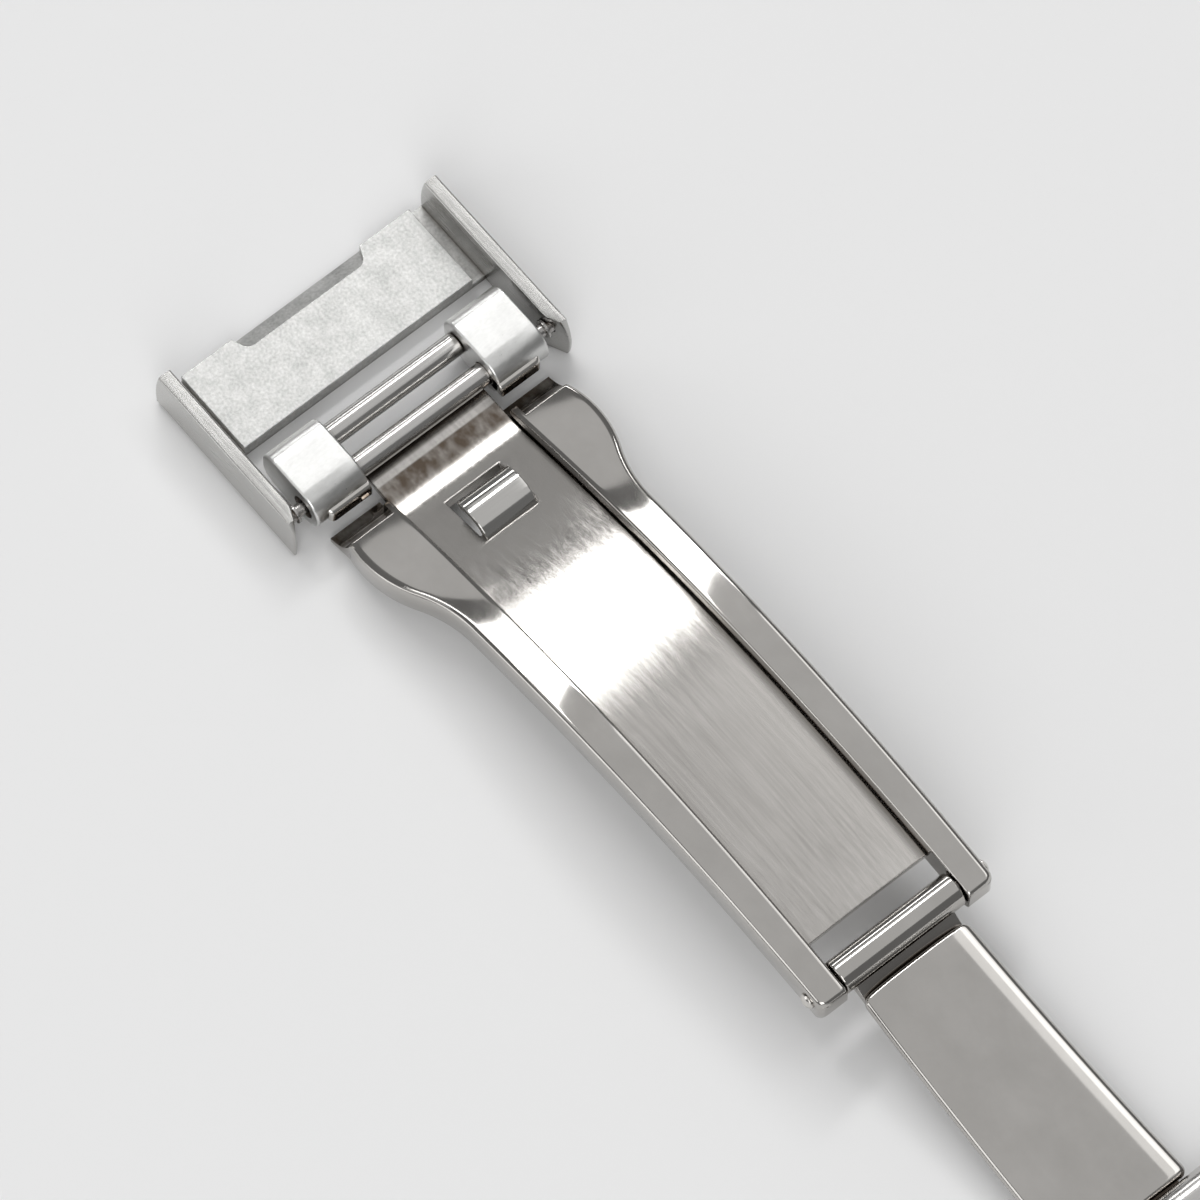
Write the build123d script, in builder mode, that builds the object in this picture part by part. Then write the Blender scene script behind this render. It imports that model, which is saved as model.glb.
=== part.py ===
from build123d import *
from math import asin, cos, radians, sin, sqrt, tan
import os

# Deployant clasp for a watch strap, unfolded and lying on its cover.
# Millimetres. +X runs from the cover to the short blade, +Z is up and the
# table is at Z = 0. Heights are above the table, and reaches are measured
# along X from the hinge bar's axis. The origin is under the clasp's middle.

# Hinge bar and strap bar, each a tube with two sprung tips
hinge_height = 2.2
bar_spacing = 2.2
bar_diameter = 1.3
bar_bore = 0.9
bar_bore_fit = 0.03
bar_hole_fit = 0.04
bar_lip = 0.15
tip_neck_diameter = 0.72
tip_flange_diameter = 1.1
tip_flange_length = 0.15
tip_diameter = 0.8
tip_round = 0.12
tip_travel = 0.6
tip_gap = 0.05
bar_stem_share = 0.39
spring_wire = 0.13
spring_coil_diameter = 0.66
spring_end_gap = 0.02
hinge_spring_turns = 7
strap_spring_turns = 3

# Cover
cover_width = 18.0
cover_wall = 0.8
cover_height = 3.35
cover_top_rear = 9.75
cover_top_front = 0.7
cover_bulge_height = 1.5
cover_rear_bulge = 0.35
cover_rear_foot = 0.3
cover_front_bulge = 0.42
cover_front_foot = 0.3
floor_thickness = 1.0
floor_rear = 10.0
floor_front = 4.87
groove_width = 0.8
groove_depth = 0.6
cover_edge_bevel = 0.12
cover_back_bevel = 0.35
ear_taper_length = 0.8
ear_taper_depth = 0.4
ear_hole_depth = 0.6
recess_depth = 0.95
recess_side_width = 3.65
recess_flare = 0.4
recess_drop = 0.62
recess_round = 0.35

# Link blocks
block_side_gap = 0.7
block_width = 3.3
block_radius = 1.35
block_rear = 3.3
block_rear_round = 1.05
block_shoulder = 0.15
block_edge_round = 0.12
block_pocket_spare = 0.35
lip_top = 0.45
lip_reach = 1.46
lip_nose = 0.1
lip_bottom = 0.55
lip_width = 2.6

# Main blade
crown_reach = 26.0
crown_height = 5.85
rail_thickness = 1.8
rail_block_step = 0.3
rail_root_width = 1.92
rail_end_width = 1.66
rail_tail = 1.05
rail_tail_round = 0.6
rail_corner_round = 0.5
rail_outer_bevel = 0.25
rail_inner_bevel = 0.18
pin_reach = 37.1
wing_foot = 1.6
wing_foot_height = 0.52
wing_cove_reach = 2.45
wing_cove_height = 1.0
wing_step = 3.15
wing_step_height = 2.47
wing_ledge = 0.32
wing_side_gap = 0.93
wing_step_taper = 0.2
wing_width_reach = 4.9
wing_bend_reach = 7.9
wing_bend_taper = 0.65
wing_end_reach = 11.4
tongue_step = 2.42
tongue_width = 0.38

# Centre plate with its hook and catch bridge
plate_recess = 0.9
plate_thickness = 0.6
plate_gap = 0.07
plate_end_gap = 1.25
plate_bend_end = 4.2
hook_thickness = 0.32
hook_fit = 0.02
hook_lip_angle = 33.0
hook_heel_angle = 62.0
bridge_rear = 5.0
bridge_front = 7.46
bridge_crest_reach = 6.1
bridge_mouth_height = 0.92
bridge_height = 1.08
bridge_thickness = 0.34
bridge_foot = 0.45
bridge_half_width = 1.65
slot_rear = 4.18
slot_side_gap = 0.1

# Hinge pin
pin_diameter = 0.9
pin_stand_out = 0.3
pin_dome = 0.2
pin_rail_fit = 0.01
pin_barrel_fit = 0.03

# Short blade
barrel_diameter = 1.9
barrel_side_gap = 0.1
short_radius = 83.0
cap_start = 1.45
cap_start_drop = 0.3
cap_end = 17.9
cap_end_height = 1.8
cap_thickness = 0.6
cap_start_taper = 0.45
cap_edge_round = 0.3
cap_corner_round = 0.3
core_thickness = 0.5
core_side_step = 0.2

# Strap tube
tube_diameter = 2.4
tube_bore = 1.6
tube_wall_gap = 0.2
tube_gap = 0.1
tube_edge_bevel = 0.12

# How far a cut runs past the face that it leaves
overrun = 1.0

# Places worked out from the sizes above
tube_reach = pin_reach + cap_end + tube_gap + tube_diameter / 2
rear_reach = cover_top_rear + cover_rear_bulge
front_reach = tube_reach + tube_diameter / 2
hinge_x = (rear_reach - front_reach) / 2
main_rise = crown_height - wing_step_height
main_radius = ((crown_reach - wing_step) ** 2 + main_rise**2) / (2 * main_rise)
plate_front = pin_reach - barrel_diameter / 2 - plate_end_gap

# Half widths, stepped inwards from the cover's walls
wall_inner = cover_width / 2 - cover_wall
floor_half_width = wall_inner - groove_width
recess_half_width = floor_half_width - recess_side_width
block_inner = wall_inner - block_side_gap - block_width
rail_inner = block_inner - rail_block_step
rail_outer_root = rail_inner + rail_root_width
rail_outer_end = rail_inner + rail_end_width
wing_width = wall_inner - wing_side_gap
wing_step_width = wing_width - wing_step_taper
wing_bend_width = wing_width - wing_bend_taper
pin_half_length = rail_outer_end + pin_stand_out
barrel_half_width = rail_inner - barrel_side_gap
cap_end_half_width = barrel_half_width
cap_start_half_width = cap_end_half_width - cap_start_taper
core_half_width = cap_start_half_width - core_side_step
tube_half_length = wall_inner - tube_wall_gap
bar_radius = bar_diameter / 2
stem_radius = bar_bore / 2 - bar_bore_fit
neck_radius = tip_neck_diameter / 2
tip_hole_radius = tip_diameter / 2 + bar_hole_fit
pocket_radius = neck_radius + bar_hole_fit
sides = {"left": -1, "right": 1}

# Side view: local X is the reach and local Y the height. Plan view from above.
side = Plane(origin=(hinge_x, 0, 0), x_dir=(1, 0, 0), z_dir=(0, -1, 0))
plan = Plane(origin=(hinge_x, 0, 0))


def main_height(reach, drop):
    """Height of the main blade's surface that lies drop below its crowned top."""
    radius = main_radius - drop
    return crown_height - main_radius + sqrt(radius**2 - (reach - crown_reach) ** 2)


def main_point(reach, drop):
    """Point of that surface in the side view."""
    return (reach, main_height(reach, drop))


def main_arc(start, end, drop):
    """The stretch of that surface's side line between two reaches."""
    return ThreePointArc(main_point(start, drop), main_point((start + end) / 2, drop), main_point(end, drop))


# The hinge pin runs through the middle of the rails
pin_height = main_height(pin_reach, rail_thickness / 2)

# The short blade's hollow top hangs from a centre above its chord
short_start = Vector(pin_reach + cap_start, pin_height - cap_start_drop)
short_end = Vector(pin_reach + cap_end, cap_end_height)
short_chord = short_end - short_start
short_rise = sqrt(short_radius**2 - (short_chord.length / 2) ** 2)
short_centre = (short_start + short_end) / 2 + Vector(-short_chord.Y, short_chord.X).normalized() * short_rise


def short_point(reach, drop):
    """Side view point of the short blade's surface that lies drop below its top."""
    radius = short_radius + drop
    return (reach, short_centre.Y - sqrt(radius**2 - (reach - short_centre.X) ** 2))


def short_arc(start, end, drop):
    """The stretch of that surface's side line between two reaches."""
    return ThreePointArc(short_point(start, drop), short_point((start + end) / 2, drop), short_point(end, drop))


def round_hinge(radius, angle):
    """Side view point at an angle round the hinge bar's axis."""
    turn = radians(angle)
    return (radius * cos(turn), hinge_height + radius * sin(turn))


def across(reach, height, start=0):
    """Plane across the clasp, from which a round piece runs along +Y."""
    return Plane(origin=(hinge_x + reach, start, height), x_dir=(1, 0, 0), z_dir=(0, 1, 0))


os.makedirs("parts", exist_ok=True)

# Thumb recess of the cover: a ramp that falls and widens towards the rim
with BuildPart() as lift_ramp:
    ramp_start = recess_depth - floor_rear
    ramp_end = -floor_rear - overrun
    ramp_run = recess_depth + overrun
    with BuildSketch(side):
        with BuildLine():
            Polyline(
                (ramp_start, floor_thickness),
                (ramp_start, cover_height),
                (ramp_end, cover_height),
                (ramp_end, floor_thickness - recess_drop * ramp_run / recess_depth),
                close=True,
            )
        make_face()
    extrude(amount=cover_width / 2, both=True)
    with BuildSketch(plan):
        with BuildLine():
            ramp_end_width = recess_half_width + recess_flare * ramp_run / recess_depth
            Polyline(
                (ramp_start, -recess_half_width),
                (ramp_start, recess_half_width),
                (ramp_end, ramp_end_width),
                (ramp_end, -ramp_end_width),
                close=True,
            )
        make_face()
        fillet(vertices().group_by(Axis.X)[-1], recess_round)
    extrude(amount=cover_height, mode=Mode.INTERSECT)

# Cover: a channel milled from the solid, with no floor at its hinge end
with BuildPart() as cover:
    with BuildSketch(side):
        with BuildLine():
            rear_top = (-cover_top_rear, cover_height)
            front_top = (cover_top_front, cover_height)
            rear_foot = (-cover_top_rear - cover_rear_foot, 0)
            front_foot = (cover_top_front + cover_front_foot, 0)
            Line(rear_top, front_top)
            ThreePointArc(front_top, (cover_top_front + cover_front_bulge, cover_bulge_height), front_foot)
            Line(front_foot, rear_foot)
            ThreePointArc(rear_foot, (-rear_reach, cover_bulge_height), rear_top)
        make_face()
    extrude(amount=cover_width / 2, both=True)
    # Bevels along the outer long edges of the back
    chamfer(cover.edges().filter_by(Axis.X).group_by(Axis.Z)[0], length=cover_back_bevel)
    # Room above the floor plate, between the walls
    with BuildSketch(plan.offset(floor_thickness)):
        Rectangle(2 * (rear_reach + overrun), 2 * wall_inner)
    extrude(amount=cover_height, mode=Mode.SUBTRACT)
    # The plate stops short of the hinge and of the walls' rear feet
    with BuildSketch(plan):
        with Locations((-floor_front, 0)):
            Rectangle(rear_reach, 2 * wall_inner, align=(Align.MIN, Align.CENTER))
        with Locations((-floor_rear, 0)):
            Rectangle(rear_reach, 2 * wall_inner, align=(Align.MAX, Align.CENTER))
    extrude(amount=cover_height, mode=Mode.SUBTRACT)
    # Relief grooves at the feet of the walls
    with BuildSketch(plan.offset(floor_thickness - groove_depth)):
        with Locations(*[(0, way * (wall_inner - groove_width / 2)) for way in sides.values()]):
            Rectangle(2 * (rear_reach + overrun), groove_width)
    extrude(amount=cover_height, mode=Mode.SUBTRACT)
    add(lift_ramp.part, mode=Mode.SUBTRACT)
    # Blind holes in the ears for the hinge bar's tips
    for way in sides.values():
        with BuildSketch(across(0, hinge_height, way * wall_inner)):
            Circle(tip_hole_radius)
        extrude(amount=way * ear_hole_depth, mode=Mode.SUBTRACT)
    # The ears thin towards their ends
    taper_start = cover_top_front - ear_taper_length
    taper_end = cover_top_front + cover_front_bulge + overrun
    taper_depth = ear_taper_depth * (taper_end - taper_start) / ear_taper_length
    with BuildSketch(plan):
        for way in sides.values():
            with BuildLine():
                Polyline(
                    (taper_start, way * wall_inner),
                    (taper_end, way * wall_inner),
                    (taper_end, way * (wall_inner + taper_depth)),
                    close=True,
                )
            make_face()
    extrude(amount=cover_height + overrun, mode=Mode.SUBTRACT)
    # Bevels along the tops of the walls
    chamfer(cover.edges().filter_by(Axis.X).group_by(Axis.Z)[-1], length=cover_edge_bevel)
cover.part.label = "cover"
export_step(cover.part, "parts/cover.step")

# Link blocks: they turn on the hinge bar and carry the strap bar between them
block_top = hinge_height + block_radius
block_bottom = hinge_height - block_radius
for name, way in sides.items():
    with BuildPart() as block:
        block_side = Plane(origin=(hinge_x, way * block_inner, 0), x_dir=(1, 0, 0), z_dir=(0, -1, 0))
        with BuildSketch(block_side):
            with BuildLine():
                Polyline(
                    (-block_shoulder, block_bottom),
                    (-block_rear, block_bottom),
                    (-block_rear, block_top),
                    (-block_shoulder, block_top),
                )
                ThreePointArc(
                    (-block_shoulder, block_top),
                    (block_radius - block_shoulder, hinge_height),
                    (-block_shoulder, block_bottom),
                )
            make_face()
            fillet(vertices().group_by(Axis.X)[0], block_rear_round)
        extrude(amount=-way * block_width)
        rims = block.faces().filter_by(Plane.XZ).edges()
        chamfer(rims, length=block_edge_round)
        # Lip across the nose, short of the outer face
        with BuildSketch(block_side):
            with BuildLine():
                Polyline(
                    (0, hinge_height + lip_top),
                    (lip_reach - lip_nose, hinge_height + lip_top),
                    (lip_reach, hinge_height + lip_nose),
                    (lip_reach, hinge_height - lip_nose),
                    (lip_reach - lip_nose, hinge_height - lip_bottom),
                    (0, hinge_height - lip_bottom),
                    close=True,
                )
            make_face()
        extrude(amount=-way * lip_width)
        with BuildSketch(block_side):
            with Locations((0, hinge_height)):
                Circle(bar_radius + bar_hole_fit)
        extrude(amount=-way * block_width, mode=Mode.SUBTRACT)
        with BuildSketch(block_side):
            with Locations((-bar_spacing, hinge_height)):
                Circle(pocket_radius)
        extrude(amount=-way * (tip_travel + block_pocket_spare), mode=Mode.SUBTRACT)
    block.part.label = f"link_block_{name}"
    export_step(block.part, f"parts/link_block_{name}.step")

# Spring bars. A face is where the bar's tip leaves its flange for its hole. A
# tip with no flange slips wholly into its tube, which then reaches the face.
bars = {
    "hinge_bar": (0, wall_inner, ear_hole_depth - tip_gap, hinge_spring_turns, True),
    "strap_bar": (-bar_spacing, block_inner, tip_travel, strap_spring_turns, False),
}
for bar, (reach, face, tip_depth, turns, flanged) in bars.items():
    flange_outer = face - tip_gap
    flange_inner = flange_outer - tip_flange_length
    tube_half = flange_inner - tip_travel - tip_gap if flanged else flange_outer
    tip_radius = tip_diameter / 2 if flanged else neck_radius
    tip_end = face + tip_depth
    stem_outer = tube_half - bar_lip
    stem_inner = stem_outer * (1 - bar_stem_share)
    flange = [
        (flange_inner, neck_radius),
        (flange_inner, tip_flange_diameter / 2),
        (flange_outer, tip_flange_diameter / 2),
        (flange_outer, tip_radius),
    ]

    # The tube's bore narrows to a lip at each end, which keeps the stems in
    with BuildPart() as tube:
        with BuildSketch(across(reach, hinge_height)):
            Circle(bar_radius)
            Circle(neck_radius + bar_bore_fit, mode=Mode.SUBTRACT)
        extrude(amount=tube_half, both=True)
        with BuildSketch(across(reach, hinge_height)):
            Circle(bar_bore / 2)
        extrude(amount=stem_outer, both=True, mode=Mode.SUBTRACT)
    tube.part.label = f"{bar}_tube"
    export_step(tube.part, f"parts/{bar}_tube.step")

    for name, way in sides.items():
        with BuildPart() as tip:
            along = Plane(origin=(hinge_x + reach, 0, hinge_height), x_dir=(0, way, 0), z_dir=(1, 0, 0))
            with BuildSketch(along):
                with BuildLine():
                    Polyline(
                        (stem_inner, 0),
                        (stem_inner, stem_radius),
                        (stem_outer, stem_radius),
                        (stem_outer, neck_radius),
                        *(flange if flanged else []),
                        (tip_end - tip_round, tip_radius),
                        (tip_end, tip_radius - tip_round),
                        (tip_end, 0),
                        close=True,
                    )
                make_face()
            revolve(axis=Axis((hinge_x + reach, 0, hinge_height), (0, 1, 0)))
        tip.part.label = f"{bar}_tip_{name}"
        export_step(tip.part, f"parts/{bar}_tip_{name}.step")

    with BuildPart() as spring:
        coil_half = stem_inner - spring_end_gap - spring_wire / 2
        with BuildLine() as coil:
            Helix(
                pitch=2 * coil_half / turns,
                height=2 * coil_half,
                radius=spring_coil_diameter / 2,
                center=(hinge_x + reach, -coil_half, hinge_height),
                direction=(0, 1, 0),
            )
        with BuildSketch(Plane(origin=coil.line @ 0, z_dir=coil.line % 0)):
            Rectangle(spring_wire, spring_wire)
        sweep()
    spring.part.label = f"{bar}_spring"
    export_step(spring.part, f"parts/{bar}_spring.step")

# Rails of the main blade: crowned bars that widen into wings by the hinge,
# hollowed there to clear the link blocks' noses
tail_reach = pin_reach + rail_tail
for name, way in sides.items():
    with BuildPart() as rail:
        with BuildSketch(side):
            with BuildLine():
                ledge_foot = (wing_step, main_height(wing_step, 0) - wing_ledge)
                Line(ledge_foot, main_point(wing_step, 0))
                main_arc(wing_step, tail_reach, 0)
                Line(main_point(tail_reach, 0), main_point(tail_reach, rail_thickness))
                main_arc(tail_reach, wing_foot, rail_thickness)
                Line(main_point(wing_foot, rail_thickness), (wing_foot, wing_foot_height))
                ThreePointArc((wing_foot, wing_foot_height), (wing_cove_reach, wing_cove_height), ledge_foot)
            make_face()
            tail_foot = vertices().group_by(Axis.X)[-1].sort_by(Axis.Y)[0]
            fillet(tail_foot, rail_tail_round)
        extrude(amount=wing_width + overrun, both=True)
        # A tongue beside the centre plate carries the top on towards the hinge
        with BuildSketch(Plane(origin=(hinge_x, way * rail_inner, 0), x_dir=(1, 0, 0), z_dir=(0, -1, 0))):
            with BuildLine():
                tongue_end = wing_step + wing_ledge
                Line((tongue_end, wing_cove_height), (tongue_step, wing_cove_height))
                Line((tongue_step, wing_cove_height), main_point(tongue_step, 0))
                main_arc(tongue_step, tongue_end, 0)
                Line(main_point(tongue_end, 0), (tongue_end, wing_cove_height))
            make_face()
        extrude(amount=-way * tongue_width)
        with BuildSketch(plan):
            with BuildLine():
                Polyline(
                    (tail_reach, way * rail_outer_end),
                    (tail_reach, way * rail_inner),
                    (wing_foot, way * rail_inner),
                    (wing_foot, way * wing_step_width),
                    (wing_step, way * wing_step_width),
                )
                ThreePointArc(
                    (wing_step, way * wing_step_width),
                    (wing_width_reach, way * wing_width),
                    (wing_bend_reach, way * wing_bend_width),
                )
                TangentArc(
                    (wing_end_reach, way * rail_outer_root),
                    (wing_bend_reach, way * wing_bend_width),
                    tangent=(-1, 0),
                )
                Line((wing_end_reach, way * rail_outer_root), (tail_reach, way * rail_outer_end))
            make_face()
            tail_corners = vertices().group_by(Axis.X)[-1]
            fillet(tail_corners.sort_by(Axis.Y)[-1 if way > 0 else 0], rail_corner_round)
        extrude(amount=crown_height + overrun, mode=Mode.INTERSECT)
        # Bevels along the crowned top, outside round the tail and inside
        crown_face = rail.faces().filter_by(GeomType.CYLINDER).sort_by(SortBy.AREA)[-2:].sort_by(Axis.Z)[-1]
        outer_rim = crown_face.edges().filter_by(
            lambda edge: (edge @ 0.5).X > hinge_x + wing_step + wing_ledge
            and abs((edge @ 0.5).Y) > rail_inner + tongue_width
        )
        chamfer(outer_rim, length=rail_outer_bevel)
        crown_face = rail.faces().filter_by(GeomType.CYLINDER).sort_by(SortBy.AREA)[-2:].sort_by(Axis.Z)[-1]
        inner_rim = crown_face.edges().sort_by(lambda edge: abs((edge @ 0.5).Y)).first
        chamfer(inner_rim, length=rail_inner_bevel)
        with BuildSketch(across(pin_reach, pin_height)):
            Circle(pin_diameter / 2 + pin_rail_fit)
        extrude(amount=wing_width, both=True, mode=Mode.SUBTRACT)
    rail.part.label = f"rail_{name}"
    export_step(rail.part, f"parts/rail_{name}.step")

# Centre plate: a sheet sunk between the rails. Its hinge end curls up round
# the hinge bar as a hook, and a catch bridge is pressed out of it.
hook_inner = bar_radius + hook_fit
hook_outer = hook_inner + hook_thickness
hook_floor = hinge_height - hook_inner
lip_angle = 180 + hook_lip_angle
heel_angle = 180 + hook_heel_angle
bend_slope = asin((crown_reach - plate_bend_end) / (main_radius - plate_recess))
bend_rise = main_height(plate_bend_end, plate_recess) - hook_floor
plate_bend_start = plate_bend_end - bend_rise / tan(bend_slope / 2)
plate_bottom = plate_recess + plate_thickness
with BuildPart() as centre_plate:
    with BuildSketch(side):
        with BuildLine():
            Line(round_hinge(hook_outer, lip_angle), round_hinge(hook_inner, lip_angle))
            ThreePointArc(
                round_hinge(hook_inner, lip_angle),
                round_hinge(hook_inner, heel_angle),
                (0, hook_floor),
            )
            Line((0, hook_floor), (plate_bend_start, hook_floor))
            TangentArc(
                (plate_bend_start, hook_floor), main_point(plate_bend_end, plate_recess), tangent=(1, 0)
            )
            main_arc(plate_bend_end, plate_front, plate_recess)
            Line(main_point(plate_front, plate_recess), main_point(plate_front, plate_bottom))
            main_arc(plate_front, plate_bend_end, plate_bottom)
            Polyline(
                main_point(plate_bend_end, plate_bottom),
                (plate_bend_start, hook_floor - plate_thickness),
                round_hinge(hook_outer, heel_angle),
            )
            ThreePointArc(
                round_hinge(hook_outer, heel_angle),
                round_hinge(hook_outer, (lip_angle + heel_angle) / 2),
                round_hinge(hook_outer, lip_angle),
            )
        make_face()
    extrude(amount=rail_inner - plate_gap, both=True)
    # Slot that the catch bridge is pressed out of
    slot_front = bridge_front - bridge_foot
    with BuildSketch(plan):
        with Locations((slot_rear, 0)):
            Rectangle(
                slot_front - slot_rear,
                2 * (bridge_half_width + slot_side_gap),
                align=(Align.MIN, Align.CENTER),
            )
    extrude(amount=crown_height, mode=Mode.SUBTRACT)
    with BuildSketch(side):
        with BuildLine():
            mouth = main_height(bridge_rear, plate_recess) + bridge_mouth_height
            crest = main_height(bridge_crest_reach, plate_recess) + bridge_height
            foot_outer = main_point(bridge_front, plate_recess)
            foot_inner = main_point(slot_front - bridge_foot / 2, plate_recess)
            foot_under = main_point(slot_front, plate_bottom)
            Line((bridge_rear, mouth - bridge_thickness), (bridge_rear, mouth))
            ThreePointArc((bridge_rear, mouth), (bridge_crest_reach, crest), foot_outer)
            Polyline(foot_outer, foot_under, foot_inner)
            ThreePointArc(
                foot_inner,
                (bridge_crest_reach, crest - bridge_thickness),
                (bridge_rear, mouth - bridge_thickness),
            )
        make_face()
    extrude(amount=bridge_half_width, both=True)
centre_plate.part.label = "centre_plate"
export_step(centre_plate.part, "parts/centre_plate.step")

# Hinge pin through the rails' tails, with domed ends
with BuildPart() as hinge_pin:
    pin_radius = pin_diameter / 2
    with BuildSketch(Plane(origin=(hinge_x + pin_reach, 0, pin_height), x_dir=(0, 1, 0), z_dir=(1, 0, 0))):
        with BuildLine():
            Line((-pin_half_length, 0), (pin_half_length, 0))
            for way in (1, -1):
                dome_start = (way * (pin_half_length - pin_dome), pin_radius)
                dome_middle = (way * (pin_half_length - pin_dome / 4), pin_radius / 2)
                ThreePointArc((way * pin_half_length, 0), dome_middle, dome_start)
            Line(
                (pin_half_length - pin_dome, pin_radius),
                (pin_dome - pin_half_length, pin_radius),
            )
        make_face()
    revolve(axis=Axis((hinge_x + pin_reach, 0, pin_height), (0, 1, 0)))
hinge_pin.part.label = "hinge_pin"
export_step(hinge_pin.part, "parts/hinge_pin.step")

# Short blade: a core sheet rolled into a barrel round the hinge pin
core_bottom = cap_thickness + core_thickness
cap_start_reach = pin_reach + cap_start
cap_end_reach = pin_reach + cap_end
barrel_radius = barrel_diameter / 2
with BuildPart() as short_blade_core:
    with BuildSketch(across(pin_reach, pin_height)):
        Circle(barrel_radius)
    extrude(amount=barrel_half_width, both=True)
    with BuildSketch(side):
        with BuildLine():
            Polyline(
                short_point(cap_start_reach, cap_thickness),
                (pin_reach, pin_height - barrel_radius + core_thickness),
                (pin_reach, pin_height - barrel_radius),
                short_point(cap_start_reach, core_bottom),
            )
            short_arc(cap_start_reach, tube_reach, core_bottom)
            Line(short_point(tube_reach, core_bottom), short_point(tube_reach, cap_thickness))
            short_arc(tube_reach, cap_start_reach, cap_thickness)
        make_face()
    extrude(amount=core_half_width, both=True)
    # Bore for the pin, and the end that seats against the strap tube
    with BuildSketch(across(pin_reach, pin_height)):
        Circle(pin_diameter / 2 + pin_barrel_fit)
    extrude(amount=barrel_half_width, both=True, mode=Mode.SUBTRACT)
    with BuildSketch(across(tube_reach, tube_diameter / 2)):
        Circle(tube_diameter / 2)
    extrude(amount=barrel_half_width, both=True, mode=Mode.SUBTRACT)
short_blade_core.part.label = "short_blade_core"
export_step(short_blade_core.part, "parts/short_blade_core.step")

# Short blade's polished cap plate, a little wider at the strap end
with BuildPart() as short_blade_cap:
    with BuildSketch(side):
        with BuildLine():
            short_arc(cap_start_reach, cap_end_reach, 0)
            Line(short_point(cap_end_reach, 0), short_point(cap_end_reach, cap_thickness))
            short_arc(cap_end_reach, cap_start_reach, cap_thickness)
            Line(short_point(cap_start_reach, cap_thickness), short_point(cap_start_reach, 0))
        make_face()
    extrude(amount=cap_end_half_width, both=True)
    with BuildSketch(plan):
        with BuildLine():
            Polyline(
                (cap_start_reach, -cap_start_half_width),
                (cap_end_reach, -cap_end_half_width),
                (cap_end_reach, cap_end_half_width),
                (cap_start_reach, cap_start_half_width),
                close=True,
            )
        make_face()
        fillet(vertices(), cap_corner_round)
    extrude(amount=crown_height, mode=Mode.INTERSECT)
    top_face = short_blade_cap.faces().sort_by(SortBy.AREA)[-2:].sort_by(Axis.Z)[-1]
    fillet(top_face.edges(), cap_edge_round)
short_blade_cap.part.label = "short_blade_cap"
export_step(short_blade_cap.part, "parts/short_blade_cap.step")

# Strap tube: takes the spring bar of the strap's other half
with BuildPart() as strap_tube:
    with BuildSketch(across(tube_reach, tube_diameter / 2)):
        Circle(tube_diameter / 2)
        Circle(tube_bore / 2, mode=Mode.SUBTRACT)
    extrude(amount=tube_half_length, both=True)
    outer_edges = strap_tube.faces().filter_by(Plane.XZ).edges().group_by(SortBy.LENGTH)[-1]
    chamfer(outer_edges, length=tube_edge_bevel)
strap_tube.part.label = "strap_tube"
export_step(strap_tube.part, "parts/strap_tube.step")
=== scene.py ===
"""Deployant clasp of a watch strap, unfolded and lying on its cover.

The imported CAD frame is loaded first. Each sub-assembly is a class that
builds its own meshes in place and dresses them in steel. Sizes of the clasp
are in millimetres, those of finishes and of the studio in metres. A reach is
a place along the clasp, counted from the hinge bar's axis.
"""

import logging
import math
from dataclasses import dataclass, replace
from enum import Enum
from functools import cache

import bmesh
import bpy
import numpy as np
from mathutils import Matrix, Vector


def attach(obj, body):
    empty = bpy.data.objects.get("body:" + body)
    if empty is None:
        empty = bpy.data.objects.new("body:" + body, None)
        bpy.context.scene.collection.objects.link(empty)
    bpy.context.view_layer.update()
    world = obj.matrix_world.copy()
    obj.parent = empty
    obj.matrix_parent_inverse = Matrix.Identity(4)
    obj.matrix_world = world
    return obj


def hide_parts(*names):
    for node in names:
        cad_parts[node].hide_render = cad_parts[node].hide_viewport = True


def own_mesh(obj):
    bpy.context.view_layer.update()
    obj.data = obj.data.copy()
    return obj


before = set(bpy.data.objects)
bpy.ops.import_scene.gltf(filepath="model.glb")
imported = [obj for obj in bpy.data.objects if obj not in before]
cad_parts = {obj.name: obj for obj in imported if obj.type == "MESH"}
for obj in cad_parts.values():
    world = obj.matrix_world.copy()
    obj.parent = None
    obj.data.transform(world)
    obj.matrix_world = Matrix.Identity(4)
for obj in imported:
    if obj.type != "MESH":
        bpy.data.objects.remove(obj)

log = logging.getLogger("clasp")

MM = 0.001
FULL_TURN = 2 * math.pi
HAIR = 1e-5  # Millimetres between the two stations of a sharp step
WORN_ROUGHNESS = 0.09
WORN_COSINES = (0.998, 0.93)  # Likeness of the surface and its rounded shading, unworn and worn
PAINTED_SHADE_SPAN = (0.25, 0.75)  # Openness of a gap that gets the full painted shade and of one that gets none
NOISE_SPAN = (0.3, 0.7)  # Range of a noise that is stretched to the full one
MARKS_SHARE = 0.6  # Share of the marks in tone and sheen
CLOUD_SHARE = 0.4  # Share of the slow variation in tone and sheen
WAVE_CELLS = (180.0, 180.0, 180.0)
SHADE_PATCH_CELLS = (700.0, 1100.0, 700.0)
SHADE_PATCH_SPAN = (0.35, 0.6, 0.5)  # Range of the noise of the painted shade patches, and its least strength
SHADE_PATCH_FADES = (0.0001, 0.0007)  # Lengths in metres over which a patch of painted shade fades at its two ends
SHADED_EDGE = 0.00006  # Radius in metres to which sharp edges shade as rounded
WELD = 1e-7  # Distance in metres at which points are merged
SLIVER = 1e-8  # Length in metres of an edge that is too short to keep
SHARP_ANGLE = 32.0  # Degrees between faces above which an edge stays sharp
BEVEL_ANGLE = 28.0  # Degrees between faces above which an edge is rounded

Socket = int | str
Source = bpy.types.Node | tuple[bpy.types.Node, Socket]
Pair = tuple[float, float]
Triple = tuple[float, float, float]
Faces = list[list[int]]


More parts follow.
